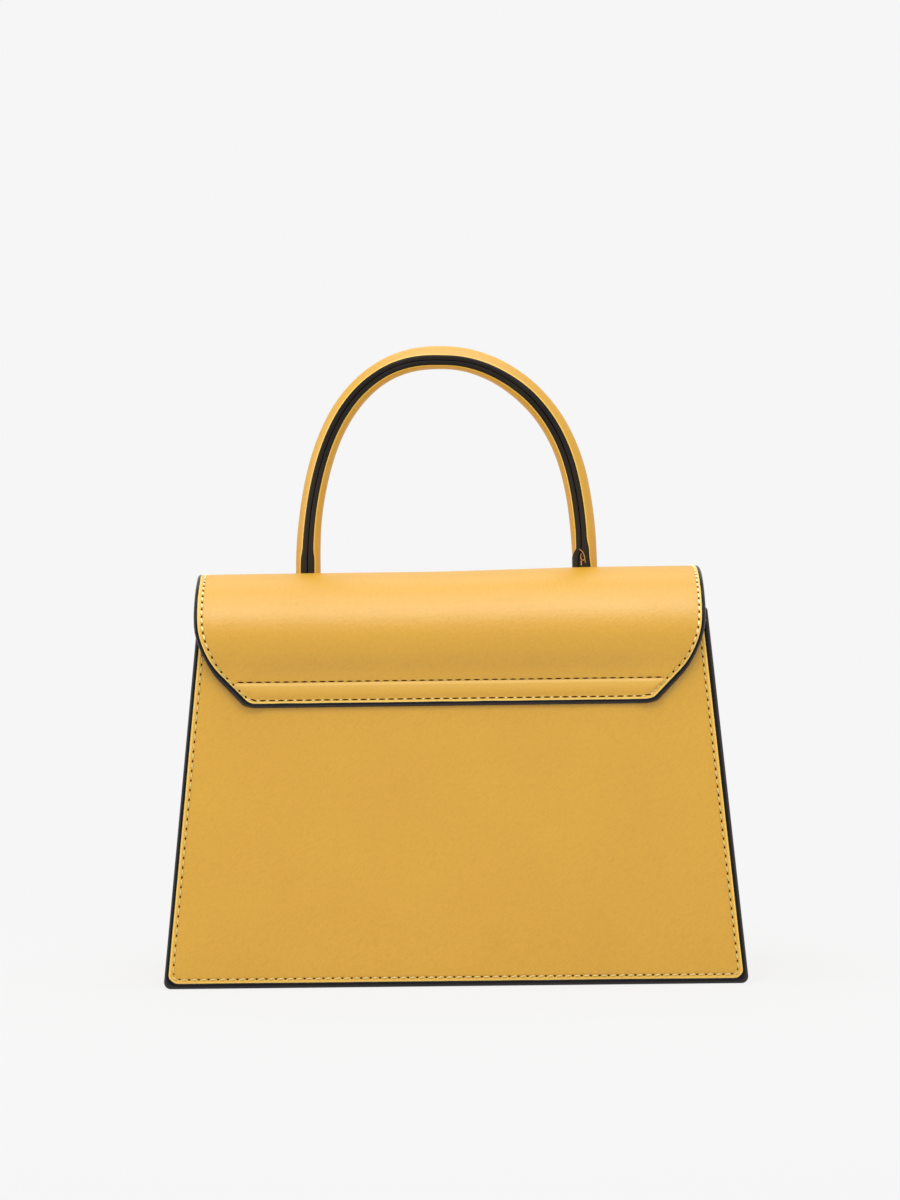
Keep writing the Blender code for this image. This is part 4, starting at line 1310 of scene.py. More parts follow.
def on_hanging_lining(spots):
    """The flap's place function, hanging lower under the ridge."""
    lower = spots.copy()
    across = 1 - soft_step(np.abs(spots[:, 0]), DROP_HALF - DROP_FADE, DROP_HALF)
    from_ridge = np.abs(spots[:, 1] - RIDGE_LENGTH)
    along = 1 - soft_step(from_ridge, RIDGE_FLAT / 2, RIDGE_FLAT / 2 + DROP_FADE)
    lower[:, 2] += (LINING_DROP + ridge_lift(spots[:, 0], spots[:, 1])) * across * along
    return on_flap(lower)


EDGE_INSET = RIM + GAP
tail_piece = rounded([
    (-FLAP_WIDTH / 2 + EDGE_INSET, HINGE_LENGTH, 0),
    (-FLAP_WIDTH / 2 + EDGE_INSET, CHAMFER_ALONG, CHAMFER_SIDE_RADIUS - EDGE_INSET),
    (-FLAP_WIDTH / 2 + CHAMFER_ACROSS, EDGE_INSET, BACKING_CORNER),
    (FLAP_WIDTH / 2 - CHAMFER_ACROSS, EDGE_INSET, BACKING_CORNER),
    (FLAP_WIDTH / 2 - EDGE_INSET, CHAMFER_ALONG, CHAMFER_SIDE_RADIUS - EDGE_INSET),
    (FLAP_WIDTH / 2 - EDGE_INSET, HINGE_LENGTH, 0),
])
board_piece = moved_in(flap_outline(HINGE_LENGTH), EDGE_INSET)
lining_piece = moved_in(flap_outline(), EDGE_INSET)
for outline, deep, thick, place, name, finish, body, slot, stands_for in (
    (tail_piece, BOARD_DEEP, BOARD_THICK, on_flap, "tail_backing_leather", YELLOW_LEATHER,
     "bag_body", "leather", "flap_tail_backing"),
    (board_piece, BOARD_DEEP, BOARD_THICK, on_flap, "flap_stiffener", FIBRE_BOARD,
     "roll", "board", "flap_board"),
    (lining_piece, LINING_DEEP, LINING, on_hanging_lining, "flap_lining_cloth", WOVEN_LINING,
     "roll", "lining", "flap_lining"),
):
    layer = slice_sheet(cut_sheet(outline, thick), COARSE_ACROSS, COARSE_ALONG)
    bmesh.ops.translate(layer, verts=layer.verts, vec=(0, 0, deep))
    put_on(bend(layer, place), name, finish, body, slot, stands_for)

# %% [markdown]
# The handle is a strip of leather rolled round a cotton core. Its pattern space is polar:
# the angle round the roll from its seam, the length along the arch, and the distance from
# the middle. The arch is a squarish ellipse that leans a little, wavers by up to half a
# millimetre and is a little thicker on the right, read off the photo. The seam faces the back,
# turns inwards at the top, and opens out at the feet, most at the right one.

# %% Pattern space of the handle
HANDLE_MIDDLE = -2.2 * MM
HANDLE_SPREAD = 0.1251
HANDLE_RISE = 0.0958
HANDLE_EXPONENT = 2.27
HANDLE_LEAN = 0.0031
HANDLE_LEAN_POWER = 5
HANDLE_SKEW = math.radians(0.37)
HANDLE_FOOT = RIDGE_HEIGHT + 0.3 * MM
HANDLE_SINK = 1.0 * MM
HANDLE_PATH_STEPS = 240
ROLL_RADIUS = 5.33 * MM
SEAM_HALF_ANGLE = math.radians(26)
SEAM_SHARES = (0, 0.05, 0.20, 0.33, 0.41, 0.50, 0.59, 0.67, 0.75, 0.85, 0.93, 0.96, 0.98, 1)
SEAM_TURNS = (-2, 0, 3, 5, 10, 19, 14, 8, 9, 11, 12, 16, 32, 32)
SPREAD_FROM = 6.5 * MM
SPREAD_TO = 12.5 * MM
LEFT_FOOT_SPREAD = 0.3
RIGHT_FOOT_SPREAD = 1.25
RIGHT_SPREAD_INNER = (6.5 * MM, 9.5 * MM)
RIGHT_SPREAD_OUTER = (1.0 * MM, 16 * MM)
HANDLE_WAVER = (
    -0.2, -0.2, -0.4, -0.45, -0.35, -0.1, -0.2, -0.4, -0.37, 0.09, 0.45, 0.13, -0.28, -0.37, 0,
    0.31, 0.30, -0.05, -0.49, -0.52, -0.3,
)
WAVER_SMOOTHING = 13
UNEVEN_SIZE = 22 * MM
UNEVEN_HEIGHT = 0.14 * MM
UNEVEN_SEED = 3
GIRTH_SHARES = (0, 0.04, 0.10, 0.45, 0.55, 0.65, 0.85, 1)
GIRTH = (0.25, 0.1, -0.17, -0.2, -0.1, 0.22, 0.28, 0.28)


def handle_path():
    """Points along the middle of the roll, from the left foot over the top."""
    turns = math.pi * (1 - np.arange(HANDLE_PATH_STEPS + 1) / HANDLE_PATH_STEPS)
    power = 2 / HANDLE_EXPONENT
    rise = np.clip(np.sin(turns), 0, 1) ** power
    across = np.sign(np.cos(turns)) * np.abs(np.cos(turns)) ** power
    x = HANDLE_MIDDLE + HANDLE_SPREAD / 2 * across - HANDLE_LEAN * rise ** HANDLE_LEAN_POWER
    z = HANDLE_RISE * rise
    x = np.concatenate((x[:1], x, x[-1:]))
    z = np.concatenate(([-HANDLE_SINK], z, [-HANDLE_SINK]))
    cos, sin = math.cos(HANDLE_SKEW), math.sin(HANDLE_SKEW)
    x, z = x * cos - z * sin, HANDLE_FOOT + x * sin + z * cos
    runs = np.column_stack((np.gradient(x), np.gradient(z)))
    runs /= np.linalg.norm(runs, axis=1)[:, None]
    lengths = running_length(np.column_stack((x, z)))
    shares = np.linspace(0, lengths[-1], len(HANDLE_WAVER))
    out = np.pad(np.interp(lengths, shares, HANDLE_WAVER) * MM, WAVER_SMOOTHING, mode="edge")
    window = 2 * WAVER_SMOOTHING + 1
    out = np.convolve(out, np.ones(window) / window, "valid")
    return np.column_stack((x - runs[:, 1] * out, z + runs[:, 0] * out))


HANDLE_PATH = handle_path()
HANDLE_LENGTHS = running_length(HANDLE_PATH)
HANDLE_LENGTH = HANDLE_LENGTHS[-1]
handle_directions = np.gradient(HANDLE_PATH, HANDLE_LENGTHS, axis=0)
handle_directions /= np.linalg.norm(handle_directions, axis=1)[:, None]


def on_handle(spots):
    """The place function of the roll: angle from the seam, length, distance from the middle."""
    angle, along, radius = spots.T
    left = 1 + LEFT_FOOT_SPREAD * (1 - soft_step(along, SPREAD_FROM, SPREAD_TO))
    outer, inner = (
        SEAM_HALF_ANGLE * (left + RIGHT_FOOT_SPREAD * (1 - soft_step(HANDLE_LENGTH - along, *span)))
        for span in (RIGHT_SPREAD_OUTER, RIGHT_SPREAD_INNER)
    )
    past_seam = (angle - SEAM_HALF_ANGLE) / (2 * math.pi - 2 * SEAM_HALF_ANGLE)
    round_leather = outer + past_seam * (2 * math.pi - outer - inner)
    in_seam = angle / SEAM_HALF_ANGLE * np.where(angle > 0, outer, inner)
    turned = np.where(angle > SEAM_HALF_ANGLE, round_leather, in_seam)
    turned = turned - np.radians(np.interp(along / HANDLE_LENGTH, SEAM_SHARES, SEAM_TURNS))
    along_twice = np.column_stack((along, np.zeros_like(along), along))
    uneven = waviness(along_twice, UNEVEN_SIZE, UNEVEN_HEIGHT, UNEVEN_SEED)
    uneven = uneven + np.interp(along / HANDLE_LENGTH, GIRTH_SHARES, GIRTH) * MM
    radius = radius + uneven * np.clip(radius / ROLL_RADIUS, 0, 1)
    out, back = radius * np.sin(turned), radius * np.cos(turned)
    spot = read_along(along, HANDLE_LENGTHS, HANDLE_PATH)
    run = read_along(along, HANDLE_LENGTHS, handle_directions)
    return np.column_stack((spot[0] - run[1] * out, -back, spot[1] + run[0] * out))


print("handle, cut length:", round(HANDLE_LENGTH / MM, 1), "mm")

# %% [markdown]
# The leather's section is a C: an outer arc, an inner arc and two cut ends, with a slight
# lip where the leather was pressed against the seam. The section is one face, extruded along
# the handle, sliced and then bent over the arch.

# %% Handle leather
SLEEVE_ARC_STEPS = 30
SLEEVE_INNER = 3.95 * MM
LIP_HEIGHT = 0.14 * MM
LIP_ANGLE = math.radians(9)
SEAM_HIGHLIGHT_ANGLES = (math.radians(2), math.radians(8))
HANDLE_SLICES = steps_between(0, HANDLE_LENGTH, 2.0 * MM)


def pulled_bar(spots, move):
    """A closed bar: one face through the spots, pulled by a move."""
    mesh = bmesh.new()
    pull(mesh, mesh.faces.new([mesh.verts.new(spot) for spot in spots]), move)
    return mesh


def straight_bar(section):
    """A section of (angle, radius) points as a bar as long as the handle, sliced to bend."""
    bar = pulled_bar([(angle, 0, radius) for angle, radius in section], (0, HANDLE_LENGTH, 0))
    return cut_levels(bar, HANDLE_SLICES, ALONG_Y)


leather_arc = 2 * math.pi - 2 * SEAM_HALF_ANGLE
sleeve_section = []
for share in (0, 0.008, 0.02, *np.linspace(0, 1, SLEEVE_ARC_STEPS + 1)[1:-1], 0.98, 0.992, 1):
    from_end = min(share, 1 - share) * leather_arc
    lip = LIP_HEIGHT * math.exp(-(from_end / LIP_ANGLE) ** 2)
    sleeve_section.append((SEAM_HALF_ANGLE + leather_arc * share, ROLL_RADIUS + lip))
for share in np.linspace(1, 0, SLEEVE_ARC_STEPS // 2 + 1):
    sleeve_section.append((SEAM_HALF_ANGLE + leather_arc * share, SLEEVE_INNER))
sleeve = straight_bar(sleeve_section)
# Beside the seam the leather gets a thin pale line of painted highlight.
from_seam = flat_spots(sleeve)[:, 0] - SEAM_HALF_ANGLE
from_seam = np.minimum(from_seam, leather_arc - from_seam)
mark(sleeve, "pressed", 1 - soft_step(from_seam, *SEAM_HIGHLIGHT_ANGLES))
put_on(bend(sleeve, on_handle), "handle_leather", YELLOW_LEATHER, "flap", "leather",
       "handle_sleeve")

# %% [markdown]
# The cotton core ends before the tabs, where the maker cuts it off so that the leather can be
# flattened. It is a round section, pulled from ring to ring along the same arch.

# %% Handle core
CORE_RADIUS = 3.6 * MM
CORE_ENDS = 15 * MM
CORE_SPACING = 3 * MM
CORE_SIDES = 16

core_rings = []
for along in steps_between(CORE_ENDS, HANDLE_LENGTH - CORE_ENDS, CORE_SPACING):
    ring = [(math.tau * step / CORE_SIDES, along, CORE_RADIUS) for step in range(CORE_SIDES)]
    core_rings.append([Vector(point) for point in on_handle(np.array(ring))])
put_on(pulled_section(core_rings, False), "handle_cotton_core", TWISTED_COTTON, "flap", "core",
       "handle_core")

# %% [markdown]
# The two painted edges fill the gap in the leather as rounded humps with a groove between
# them. The paint is thin on top of each hump, more so near the feet, and the leather makes
# it look warmer there.

# %% Handle seam
THIN_PAINT = 0.5
THICKER_FROM_FOOT = (20 * MM, 70 * MM)
HUMP_RISES = (0.02, 0.15)
HUMP_FALLS = (0.8, 0.95)
HUMP_SECTION = (
    (0.01, 4.0), (0.01, 5.05), (0.06, 5.32), (0.18, 5.52), (0.40, 5.66), (0.65, 5.70),
    (0.85, 5.60), (0.98, 5.40), (1.04, 5.1), (1.04, 4.0),
)
for side, word in ((1, "outer"), (-1, "inner")):
    section = [(side * share * SEAM_HALF_ANGLE, radius * MM) for share, radius in HUMP_SECTION]
    edge = straight_bar(section)
    shares = np.abs(flat_spots(edge)[:, 0]) / SEAM_HALF_ANGLE
    from_foot = np.minimum(flat_spots(edge)[:, 1], HANDLE_LENGTH - flat_spots(edge)[:, 1])
    thin_paint = THIN_PAINT + (1 - THIN_PAINT) * (1 - soft_step(from_foot, *THICKER_FROM_FOOT))
    on_hump = soft_step(shares, *HUMP_RISES) * (1 - soft_step(shares, *HUMP_FALLS))
    mark(edge, "warm", thin_paint * on_hump)
    put_on(bend(edge, on_handle), "handle_painted_edge_" + word, BLACK_PAINT, "flap",
           "edge_paint", "handle_seam_" + word)

# %% [markdown]
# Where the roll meets the flap, its ends are slit and flattened into tabs that go through
# the flap and are riveted under it. Each tab starts as a cube, is scaled to its size and has
# its corners rounded by a bevel.

# %% Handle tabs
TAB_THICK = 1.8 * MM
TAB_WIDTH = 10 * MM
TAB_REACH = 24 * MM
TAB_DEEP = 3.0 * MM
TAB_CORNER = 3 * MM


def edges_along(mesh, axis, longer_than):
    """The edges of a mesh that run along an axis (0, 1 or 2) for more than a length."""
    return [
        edge for edge in mesh.edges
        if abs(edge.verts[0].co[axis] - edge.verts[1].co[axis]) > longer_than
    ]


def round_edges(mesh, edges, radius, segments):
    """Bevel edges to a radius. The operator's own profile and material aren't the editor's."""
    bmesh.ops.bevel(mesh, geom=edges, offset=radius, affect="EDGES", segments=segments,
                    profile=0.5, material=-1)


for side, word in ((-1, "left"), (1, "right")):
    tab = bmesh.new()
    bmesh.ops.create_cube(tab, size=1)
    bmesh.ops.scale(tab, verts=tab.verts, vec=(TAB_REACH, TAB_WIDTH, TAB_THICK))
    round_edges(tab, edges_along(tab, 2, TAB_THICK / 2), TAB_CORNER, 5)
    middle = HANDLE_SPREAD / 2 + TAB_REACH / 2
    low = RIDGE_HEIGHT - TAB_DEEP - TAB_THICK / 2
    bmesh.ops.translate(tab, verts=tab.verts, vec=(side * middle, 0, low))
    put_on(tab, "handle_tab_" + word, YELLOW_LEATHER, "flap", "leather")

# %% [markdown]
# At the right foot the photo shows the seam's last stitches and a loose loop of tan thread
# on the black edges. A thread is a thin round section pulled along a few points, smoothed
# into a curve. The points are measured from the leg's middle, and lie just off its surface.

# %% Loose thread at the right foot
THREAD_RADIUS = 0.16 * MM
LEG_RADIUS = 5.75 * MM
LOOP_POINTS = (
    (-2.6, 8.6, 0.1), (-1.3, 7.4, 0.5), (-0.6, 5.8, 0.7), (-0.3, 4.2, 0.8), (-1.1, 3.6, 0.8),
    (-1.8, 4.1, 0.7), (-2.1, 5.3, 0.5), (-1.8, 6.5, 0.1),
)
END_POINTS = ((-0.4, 4.4, 0.3), (-0.1, 3.2, 0.5), (0.1, 2.2, 0.1))
FOOT_STITCH = (0.34 * MM, 0.26 * MM, 0.58 * MM)
FOOT_STITCH_SPOTS = ((-1.8, 2.9, 0), (-1.8, 1.8, 0))


def on_right_leg(points):
    """Places on the back of the right leg, from (across, up, proud) in millimetres."""
    across, up, proud = (np.array(points) * MM).T
    foot = HANDLE_PATH[-2]
    back = np.sqrt((LEG_RADIUS + proud) ** 2 - across ** 2)
    return [Vector(spot) for spot in zip(foot[0] + across, -back, foot[1] + up)]


def smoothed(points, steps):
    """A smooth curve through points, by the Catmull-Rom rule."""
    padded = [points[0], *points, points[-1]]
    curve = []
    for a, b, c, d in zip(padded, padded[1:], padded[2:], padded[3:]):
        for step in range(steps):
            t = step / steps
            curve.append(0.5 * (2 * b + (c - a) * t + (2 * a - 5 * b + 4 * c - d) * t ** 2
                                + (3 * b - a - 3 * c + d) * t ** 3))
    return curve + [points[-1]]


def thread_along(points, radius, sides=6):
    """A thin round thread along a smooth path."""
    rings = []
    for index, point in enumerate(points):
        run = points[min(index + 1, len(points) - 1)] - points[max(index - 1, 0)]
        frame_turn = run.to_track_quat("Z", "Y")
        ring = []
        for step in range(sides):
            turn = math.tau * step / sides
            ring.append(point + frame_turn @ Vector((math.cos(turn), math.sin(turn), 0)) * radius)
        rings.append(ring)
    return pulled_section(rings, False)


for points, name in ((LOOP_POINTS, "loose_thread_loop"), (END_POINTS, "loose_thread_end")):
    strand = thread_along(smoothed(on_right_leg(points), 5), THREAD_RADIUS)
    put_on(strand, name, LOOSE_THREAD, "flap", "core")
foot_stitches = bmesh.new()
for spot in on_right_leg(FOOT_STITCH_SPOTS):
    bmesh.ops.create_uvsphere(
        foot_stitches, u_segments=8, v_segments=6, radius=1,
        matrix=Matrix.Translation(spot) @ Matrix.Diagonal((*FOOT_STITCH, 1)))
put_on(foot_stitches, "handle_foot_stitches", LOOSE_THREAD, "flap", "core")

# %% [markdown]
# The photo hides the sides and the inside, so these follow how such bags are made. A gusset
# is a U-shaped wall: its two flanges are turned outwards and glued behind the painted edges,
# and the wall between them is set in. It starts as one face in plan, is extruded upwards,
# has its folds bevelled and is then leaned to the body's taper.

# %% Gussets
SKIRT = 0.3 * MM
GUSSET_BOW = 0.9 * MM
GUSSET_LOW = BASE_TOP + GAP
GUSSET_HIGH = BODY_HEIGHT - RIM - GAP
PLAN_DEPTH = half_depth(0) - LEATHER - GAP
FOLD_RADIUS = 1.0 * MM
WALL_GRID = 6 * MM
WALL_GRID_ACROSS = 5 * MM
PAINTED_TOP = 1.1 * MM
PAINTED_TOP_OVERHANG = 0.15 * MM
PAINTED_TOP_ROUND = 0.5 * MM


def on_gusset(side):
    """The place function of a gusset: in from its flange's edge, along Y at the foot, height."""
    def place(spots):
        inwards, along_y, height = spots.T
        share = (half_depth(height) - LEATHER - GAP) / PLAN_DEPTH
        wall = soft_step(inwards, FLANGE - EDGE_INSET - LEATHER, FLANGE - EDGE_INSET)
        bow = GUSSET_BOW * np.cos(np.clip(along_y / PLAN_DEPTH, -1, 1) * math.pi / 2)
        rise = np.sin(np.clip((height - GUSSET_LOW) / (GUSSET_HIGH - GUSSET_LOW), 0, 1) * math.pi)
        x = half_width(height) - EDGE_INSET - inwards + wall * bow * rise
        return np.column_stack((side * x, along_y * share, height))
    return place


def gusset_plan(overhang):
    """The U of a gusset in plan, as (inwards, y) corners."""
    wall = FLANGE - EDGE_INSET
    inner = PLAN_DEPTH - LEATHER
    thick = LEATHER + overhang
    return [
        (0, -PLAN_DEPTH), (0, -inner + overhang), (wall - overhang, -inner + overhang),
        (wall - overhang, inner - overhang), (0, inner - overhang), (0, PLAN_DEPTH),
        (wall + thick - overhang, PLAN_DEPTH), (wall + thick - overhang, -PLAN_DEPTH),
    ]


def upright(plan, low, high):
    """A plan pulled up between two heights."""
    return pulled_bar([(*spot, low) for spot in plan], (0, 0, high - low))


gusset_across_cuts = steps_between(-PLAN_DEPTH, PLAN_DEPTH, WALL_GRID_ACROSS)
for side, word in ((-1, "left"), (1, "right")):
    gusset = upright(gusset_plan(0), GUSSET_LOW, GUSSET_HIGH - SKIRT)
    upright_edges = edges_along(gusset, 2, FLANGE)
    folds = [edge for edge in upright_edges if edge.verts[0].co.x > FLANGE / 2]
    round_edges(gusset, folds, FOLD_RADIUS, 4)
    cut_levels(gusset, steps_between(GUSSET_LOW, GUSSET_HIGH, WALL_GRID), ALONG_Z)
    cut_levels(gusset, gusset_across_cuts, ALONG_Y)
    put_on(bend(gusset, on_gusset(side)), "gusset_leather_" + word, YELLOW_LEATHER,
           "bag_body", "leather", "side_gusset_" + word)
    head = upright(gusset_plan(PAINTED_TOP_OVERHANG), GUSSET_HIGH - PAINTED_TOP, GUSSET_HIGH)
    top_edges = [
        edge for edge in head.edges
        if min(vertex.co.z for vertex in edge.verts) > GUSSET_HIGH - SAME_POINT
    ]
    round_edges(head, top_edges, PAINTED_TOP_ROUND, 3)
    cut_levels(head, gusset_across_cuts, ALONG_Y)
    put_on(bend(head, on_gusset(side)), "gusset_painted_top_" + word, BLACK_PAINT,
           "bag_body", "edge_paint")

# %% [markdown]
# The bottom is a tray: a flat panel set up from the edges, with its long sides turned down
# and glued behind the painted edges. It is made like the gussets, but pulled across the bag.

# %% Base
BASE_LOW = RIM + GAP
BASE_RISE = 0.006
BASE_FOLDS_ABOVE = 3 * MM
BASE_FOLD_RADIUS = 0.9 * MM
BASE_GRID = 10 * MM

tray_plan = []
for side, height, deep in (
    (BACK, BASE_LOW, LEATHER + GAP), (BACK, BASE_TOP, LEATHER + GAP),
    (FRONT, BASE_TOP, LEATHER + GAP), (FRONT, BASE_LOW, LEATHER + GAP),
    (FRONT, BASE_LOW, PANEL_THICK), (FRONT, BASE_RISE, PANEL_THICK),
    (BACK, BASE_RISE, PANEL_THICK), (BACK, BASE_LOW, PANEL_THICK),
):
    tray_plan.append((side * (half_depth(height) - deep), height))
base_reach = half_width(BASE_TOP) - EDGE_INSET
base = pulled_bar([(-base_reach, y, z) for y, z in tray_plan], (2 * base_reach, 0, 0))
long_edges = edges_along(base, 0, base_reach)
base_folds = [edge for edge in long_edges if edge.verts[0].co.z > BASE_FOLDS_ABOVE]
round_edges(base, base_folds, BASE_FOLD_RADIUS, 4)
cut_levels(base, steps_between(-base_reach, base_reach, BASE_GRID), ALONG_X)
put_on(base, "base_leather", YELLOW_LEATHER, "bag_body", "leather", "base_panel")

# %% [markdown]
# The lining is a sewn cloth box that hangs in the body, open at the top. It begins as a
# cube whose lid is deleted. The corners are bevelled, because cloth never turns sharply, the
# walls are sliced and loosened a little, and a wall thickness is grown inwards at the end.

# %% Lining
LINING_FLOOR = 0.0095
LINING_RIM = GUSSET_HIGH
LINING_CORNER = 0.05
LINING_CUTS = ((ALONG_Z, 0.1), (ALONG_X, 0.08), (ALONG_Y, 0.16))
LINING_LOOSE = 0.5 * MM
LOOSE_WAVES = (4, 2, 40)

cloth = bmesh.new()
bmesh.ops.create_cube(cloth, size=2)
lid = [face for face in cloth.faces if face.normal.z > 0.5]
bmesh.ops.delete(cloth, geom=lid, context="FACES_ONLY")
round_edges(cloth, edges_along(cloth, 2, 1), LINING_CORNER, 4)
for direction, spacing in LINING_CUTS:
    cut_levels(cloth, steps_between(-1, 1, spacing), direction)
for vertex in cloth.verts:
    height = LINING_FLOOR + (LINING_RIM - LINING_FLOOR) * (vertex.co.z + 1) / 2
    reach = half_width(height) - FLANGE - LEATHER - 2 * GAP
    depth = half_depth(height) - LINING_DEEP - GAP
    at = (vertex.co.x, vertex.co.y, height)
    waves = Vector([value * count for value, count in zip(at, LOOSE_WAVES)])
    loose = LINING_LOOSE * (1 + noise.noise(waves))
    slack = loose * (1 - abs(vertex.co.z) ** 4)
    vertex.co = (vertex.co.x * (reach - slack), vertex.co.y * (depth - slack), height)
bmesh.ops.recalc_face_normals(cloth, faces=cloth.faces)
bmesh.ops.solidify(cloth, geom=cloth.faces[:], thickness=LINING)
put_on(cloth, "lining_cloth", WOVEN_LINING, "bag_body", "lining", "lining_bag")

# %% [markdown]
# The magnetic snap is turned metal: the socket on the front panel has a round recess, and
# the stud under the flap has a boss that drops into it. Half of the profile is drawn as a
# short chain of points and spun round its axis.

# %% Magnetic snap
SNAP_HEIGHT = 0.1065
SPIN_STEPS = 40


def spun(profile):
    """A turned piece in pattern space from (radius, depth) points in millimetres."""
    mesh = bmesh.new()
    points = [mesh.verts.new((radius * MM, 0, deep * MM)) for radius, deep in profile]
    edges = [mesh.edges.new(pair) for pair in zip(points, points[1:])]
    bmesh.ops.spin(mesh, geom=points + edges, cent=(0, 0, 0), axis=(0, 0, 1),
                   angle=math.tau, steps=SPIN_STEPS, use_merge=True)
    bmesh.ops.remove_doubles(mesh, verts=mesh.verts, dist=SAME_POINT)
    bmesh.ops.recalc_face_normals(mesh, faces=mesh.faces)
    return mesh


SOCKET_PROFILE = (
    (0, -0.6), (4.6, -0.6), (5.0, -0.75), (5.2, -1.45), (5.5, -1.6), (7.9, -1.6),
    (8.3, -1.45), (8.5, -1.1), (8.5, -0.3), (0, -0.3),
)
STUD_PROFILE = (
    (0, 5.55), (2.5, 5.55), (2.85, 5.45), (3.0, 5.2), (3.1, 4.95), (3.4, 4.9), (7.9, 4.9),
    (8.3, 4.75), (8.5, 4.4), (8.5, 3.8), (0, 3.8),
)
stud_along = FLAP_LENGTH - (SNAP_HEIGHT - FLAP_EDGE_HEIGHT)
for profile, spot, place, name, body, node in (
    (SOCKET_PROFILE, (0, SNAP_HEIGHT, 0), on_panel(FRONT), "snap_socket_metal", "bag_body",
     "snap_socket"),
    (STUD_PROFILE, (-FLAP_SHIFT, stud_along, 0), on_flap, "snap_stud_metal", "flap", "snap_stud"),
):
    metal = spun(profile)
    bmesh.ops.translate(metal, verts=metal.verts, vec=spot)
    put_on(bend(metal, place), name, PALE_GOLD, body, "snap_metal", node)

# %% [markdown]
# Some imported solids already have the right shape, because they are hidden or plain: the
# boards, the rivets and the snap's washers. They only get a real finish.

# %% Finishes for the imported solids
KEPT_NODES = {
    "back_board": FIBRE_BOARD,
    "front_board": FIBRE_BOARD,
    "base_board": FIBRE_BOARD,
    "tab_rivet_left": PALE_GOLD,
    "tab_rivet_right": PALE_GOLD,
    "snap_socket_washer": PALE_GOLD,
    "snap_stud_washer": PALE_GOLD,
}
for node, finish in KEPT_NODES.items():
    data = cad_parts[node].data
    data.materials.clear()
    data.materials.append(finish)
print("packed solids refinished:", len(KEPT_NODES))

# %% [markdown]
# The photo has a plain pale background with almost no shadow. The floor takes light like a
# white sheet, but the camera sees it mostly as the flat background colour, with only a share
# of the real shading near the bag, so that the shadow stays and the horizon disappears.

# %% Floor and backdrop
FLOOR_SIZE = 8
FLOOR_ALBEDO = (0.70, 0.70, 0.70, 1)
SHADOW_SHARE = 0.14
SHADOW_NEAR = 0.16
SHADOW_FAR = 0.55


def seen_directly(tree):
    """1 for camera, glossy and transmission rays, and 0 for the rays that carry light."""
    path = tree.nodes.new("ShaderNodeLightPath")
    either = maths(tree, "MAXIMUM", path.outputs["Is Camera Ray"], path.outputs["Is Glossy Ray"])
    return maths(tree, "MAXIMUM", either, path.outputs["Is Transmission Ray"])


floor_material = bpy.data.materials.new("pale_floor")
floor_material.use_nodes = True
tree = floor_material.node_tree
tree.nodes.remove(tree.nodes["Principled BSDF"])
sheet_of_paper = tree.nodes.new("ShaderNodeBsdfDiffuse")
sheet_of_paper.inputs["Color"].default_value = FLOOR_ALBEDO
flat_colour = tree.nodes.new("ShaderNodeEmission")
flat_colour.inputs["Color"].default_value = BACKDROP_COLOUR
spot = tree.nodes.new("ShaderNodeTexCoord").outputs["Object"]
distance = tree.nodes.new("ShaderNodeVectorMath")
distance.operation = "LENGTH"
tree.links.new(spot, distance.inputs[0])
flat_share = remapped(tree, distance.outputs["Value"], SHADOW_NEAR, SHADOW_FAR, 1 - SHADOW_SHARE, 1)
how_flat = maths(tree, "MULTIPLY", flat_share, seen_directly(tree))
mixed = tree.nodes.new("ShaderNodeMixShader")
tree.links.new(how_flat, mixed.inputs["Fac"])
tree.links.new(sheet_of_paper.outputs["BSDF"], mixed.inputs[1])
tree.links.new(flat_colour.outputs["Emission"], mixed.inputs[2])
tree.links.new(mixed.outputs["Shader"], tree.nodes["Material Output"].inputs["Surface"])

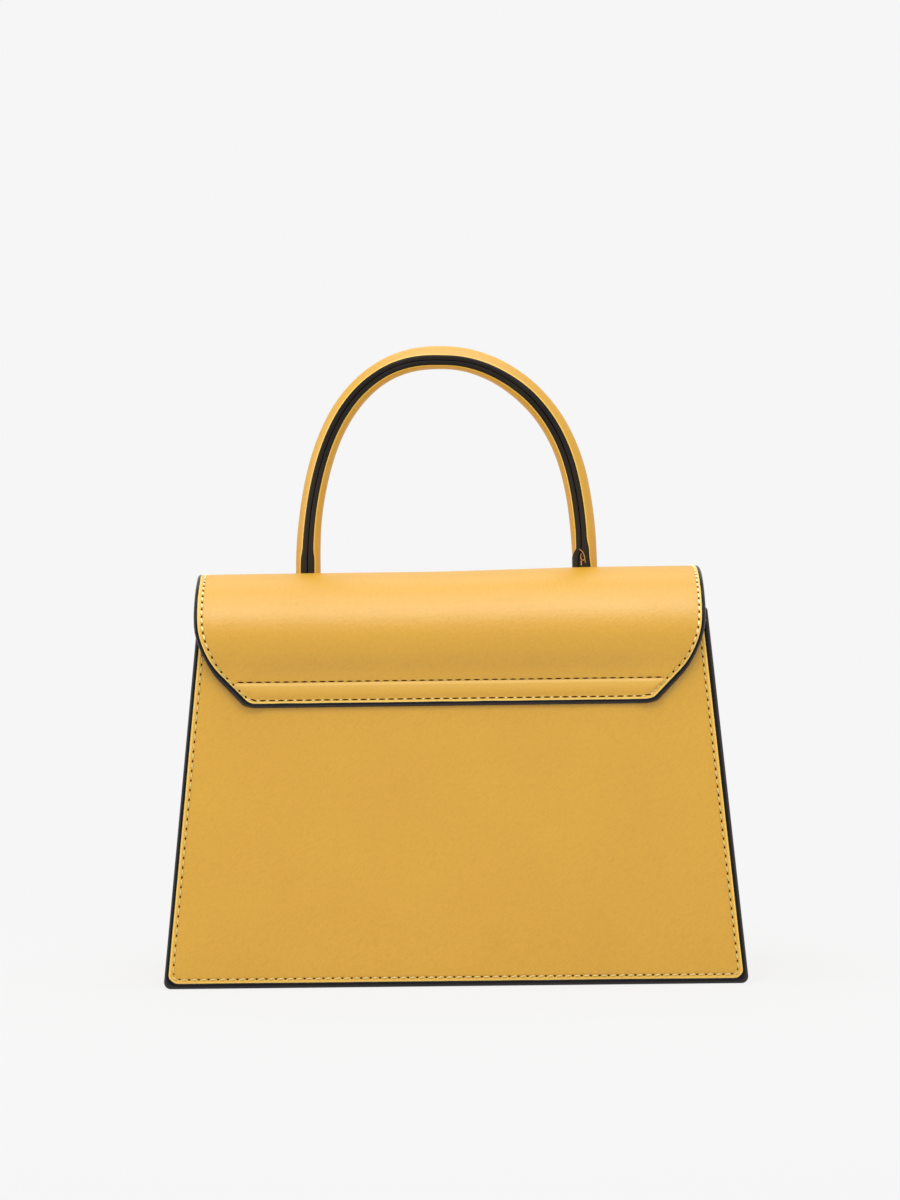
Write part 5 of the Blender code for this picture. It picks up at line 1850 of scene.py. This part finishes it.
floor_mesh = bmesh.new()
bmesh.ops.create_grid(floor_mesh, x_segments=2, y_segments=2, size=FLOOR_SIZE / 2)
floor_data = bpy.data.meshes.new("floor")
floor_mesh.to_mesh(floor_data)
floor_mesh.free()
floor_data.materials.append(floor_material)
floor = bpy.data.objects.new("floor", floor_data)
bpy.context.scene.collection.objects.link(floor)
print("floor:", FLOOR_SIZE, "m wide, with", len(floor_data.polygons), "faces")

# %% [markdown]
# The light is a photo studio's: a pale room, one wide softbox high in front, two slim ones
# above and behind, and a weak one on the left. Together they draw the broad pale band on the
# roll, while the flat panel stays even. Area lamps are used because their size sets how soft a
# highlight is.

# %% Light
ROOM_LIGHT = 0.74
LAMPS_LOOK_AT = (0, 0, 0.14)

world = bpy.data.worlds.new("pale_room")
bpy.context.scene.world = world
world.use_nodes = True
tree = world.node_tree
room = tree.nodes["Background"]
room.inputs["Color"].default_value = (1, 1, 1, 1)
room.inputs["Strength"].default_value = ROOM_LIGHT
backdrop = tree.nodes.new("ShaderNodeBackground")
backdrop.inputs["Color"].default_value = BACKDROP_COLOUR
mixed = tree.nodes.new("ShaderNodeMixShader")
tree.links.new(seen_directly(tree), mixed.inputs["Fac"])
tree.links.new(room.outputs["Background"], mixed.inputs[1])
tree.links.new(backdrop.outputs["Background"], mixed.inputs[2])
tree.links.new(mixed.outputs["Shader"], tree.nodes["World Output"].inputs["Surface"])


def softbox(name, azimuth, elevation, distance, width, height, power):
    """A rectangular lamp that looks at the bag from a direction, in degrees and metres."""
    lamp = bpy.data.lights.new(name, "AREA")
    lamp.shape = "RECTANGLE"
    lamp.size = width
    lamp.size_y = height
    lamp.energy = power
    turn, lift = math.radians(azimuth), math.radians(elevation)
    towards = Vector((
        math.cos(lift) * math.sin(turn), -math.cos(lift) * math.cos(turn), math.sin(lift),
    ))
    holder = bpy.data.objects.new(name, lamp)
    bpy.context.scene.collection.objects.link(holder)
    holder.location = Vector(LAMPS_LOOK_AT) + towards * distance
    holder.rotation_euler = towards.to_track_quat("Z", "Y").to_euler()


softbox("front_softbox", 0, 57, 1.6, 1.2, 0.75, 12.7)
softbox("top_softbox", 0, 86, 1.6, 2.6, 0.35, 8)
softbox("left_softbox", -80, 20, 1.6, 0.8, 0.8, 4)
softbox("back_softbox", 0, 120, 1.6, 1.2, 0.35, 3.0)
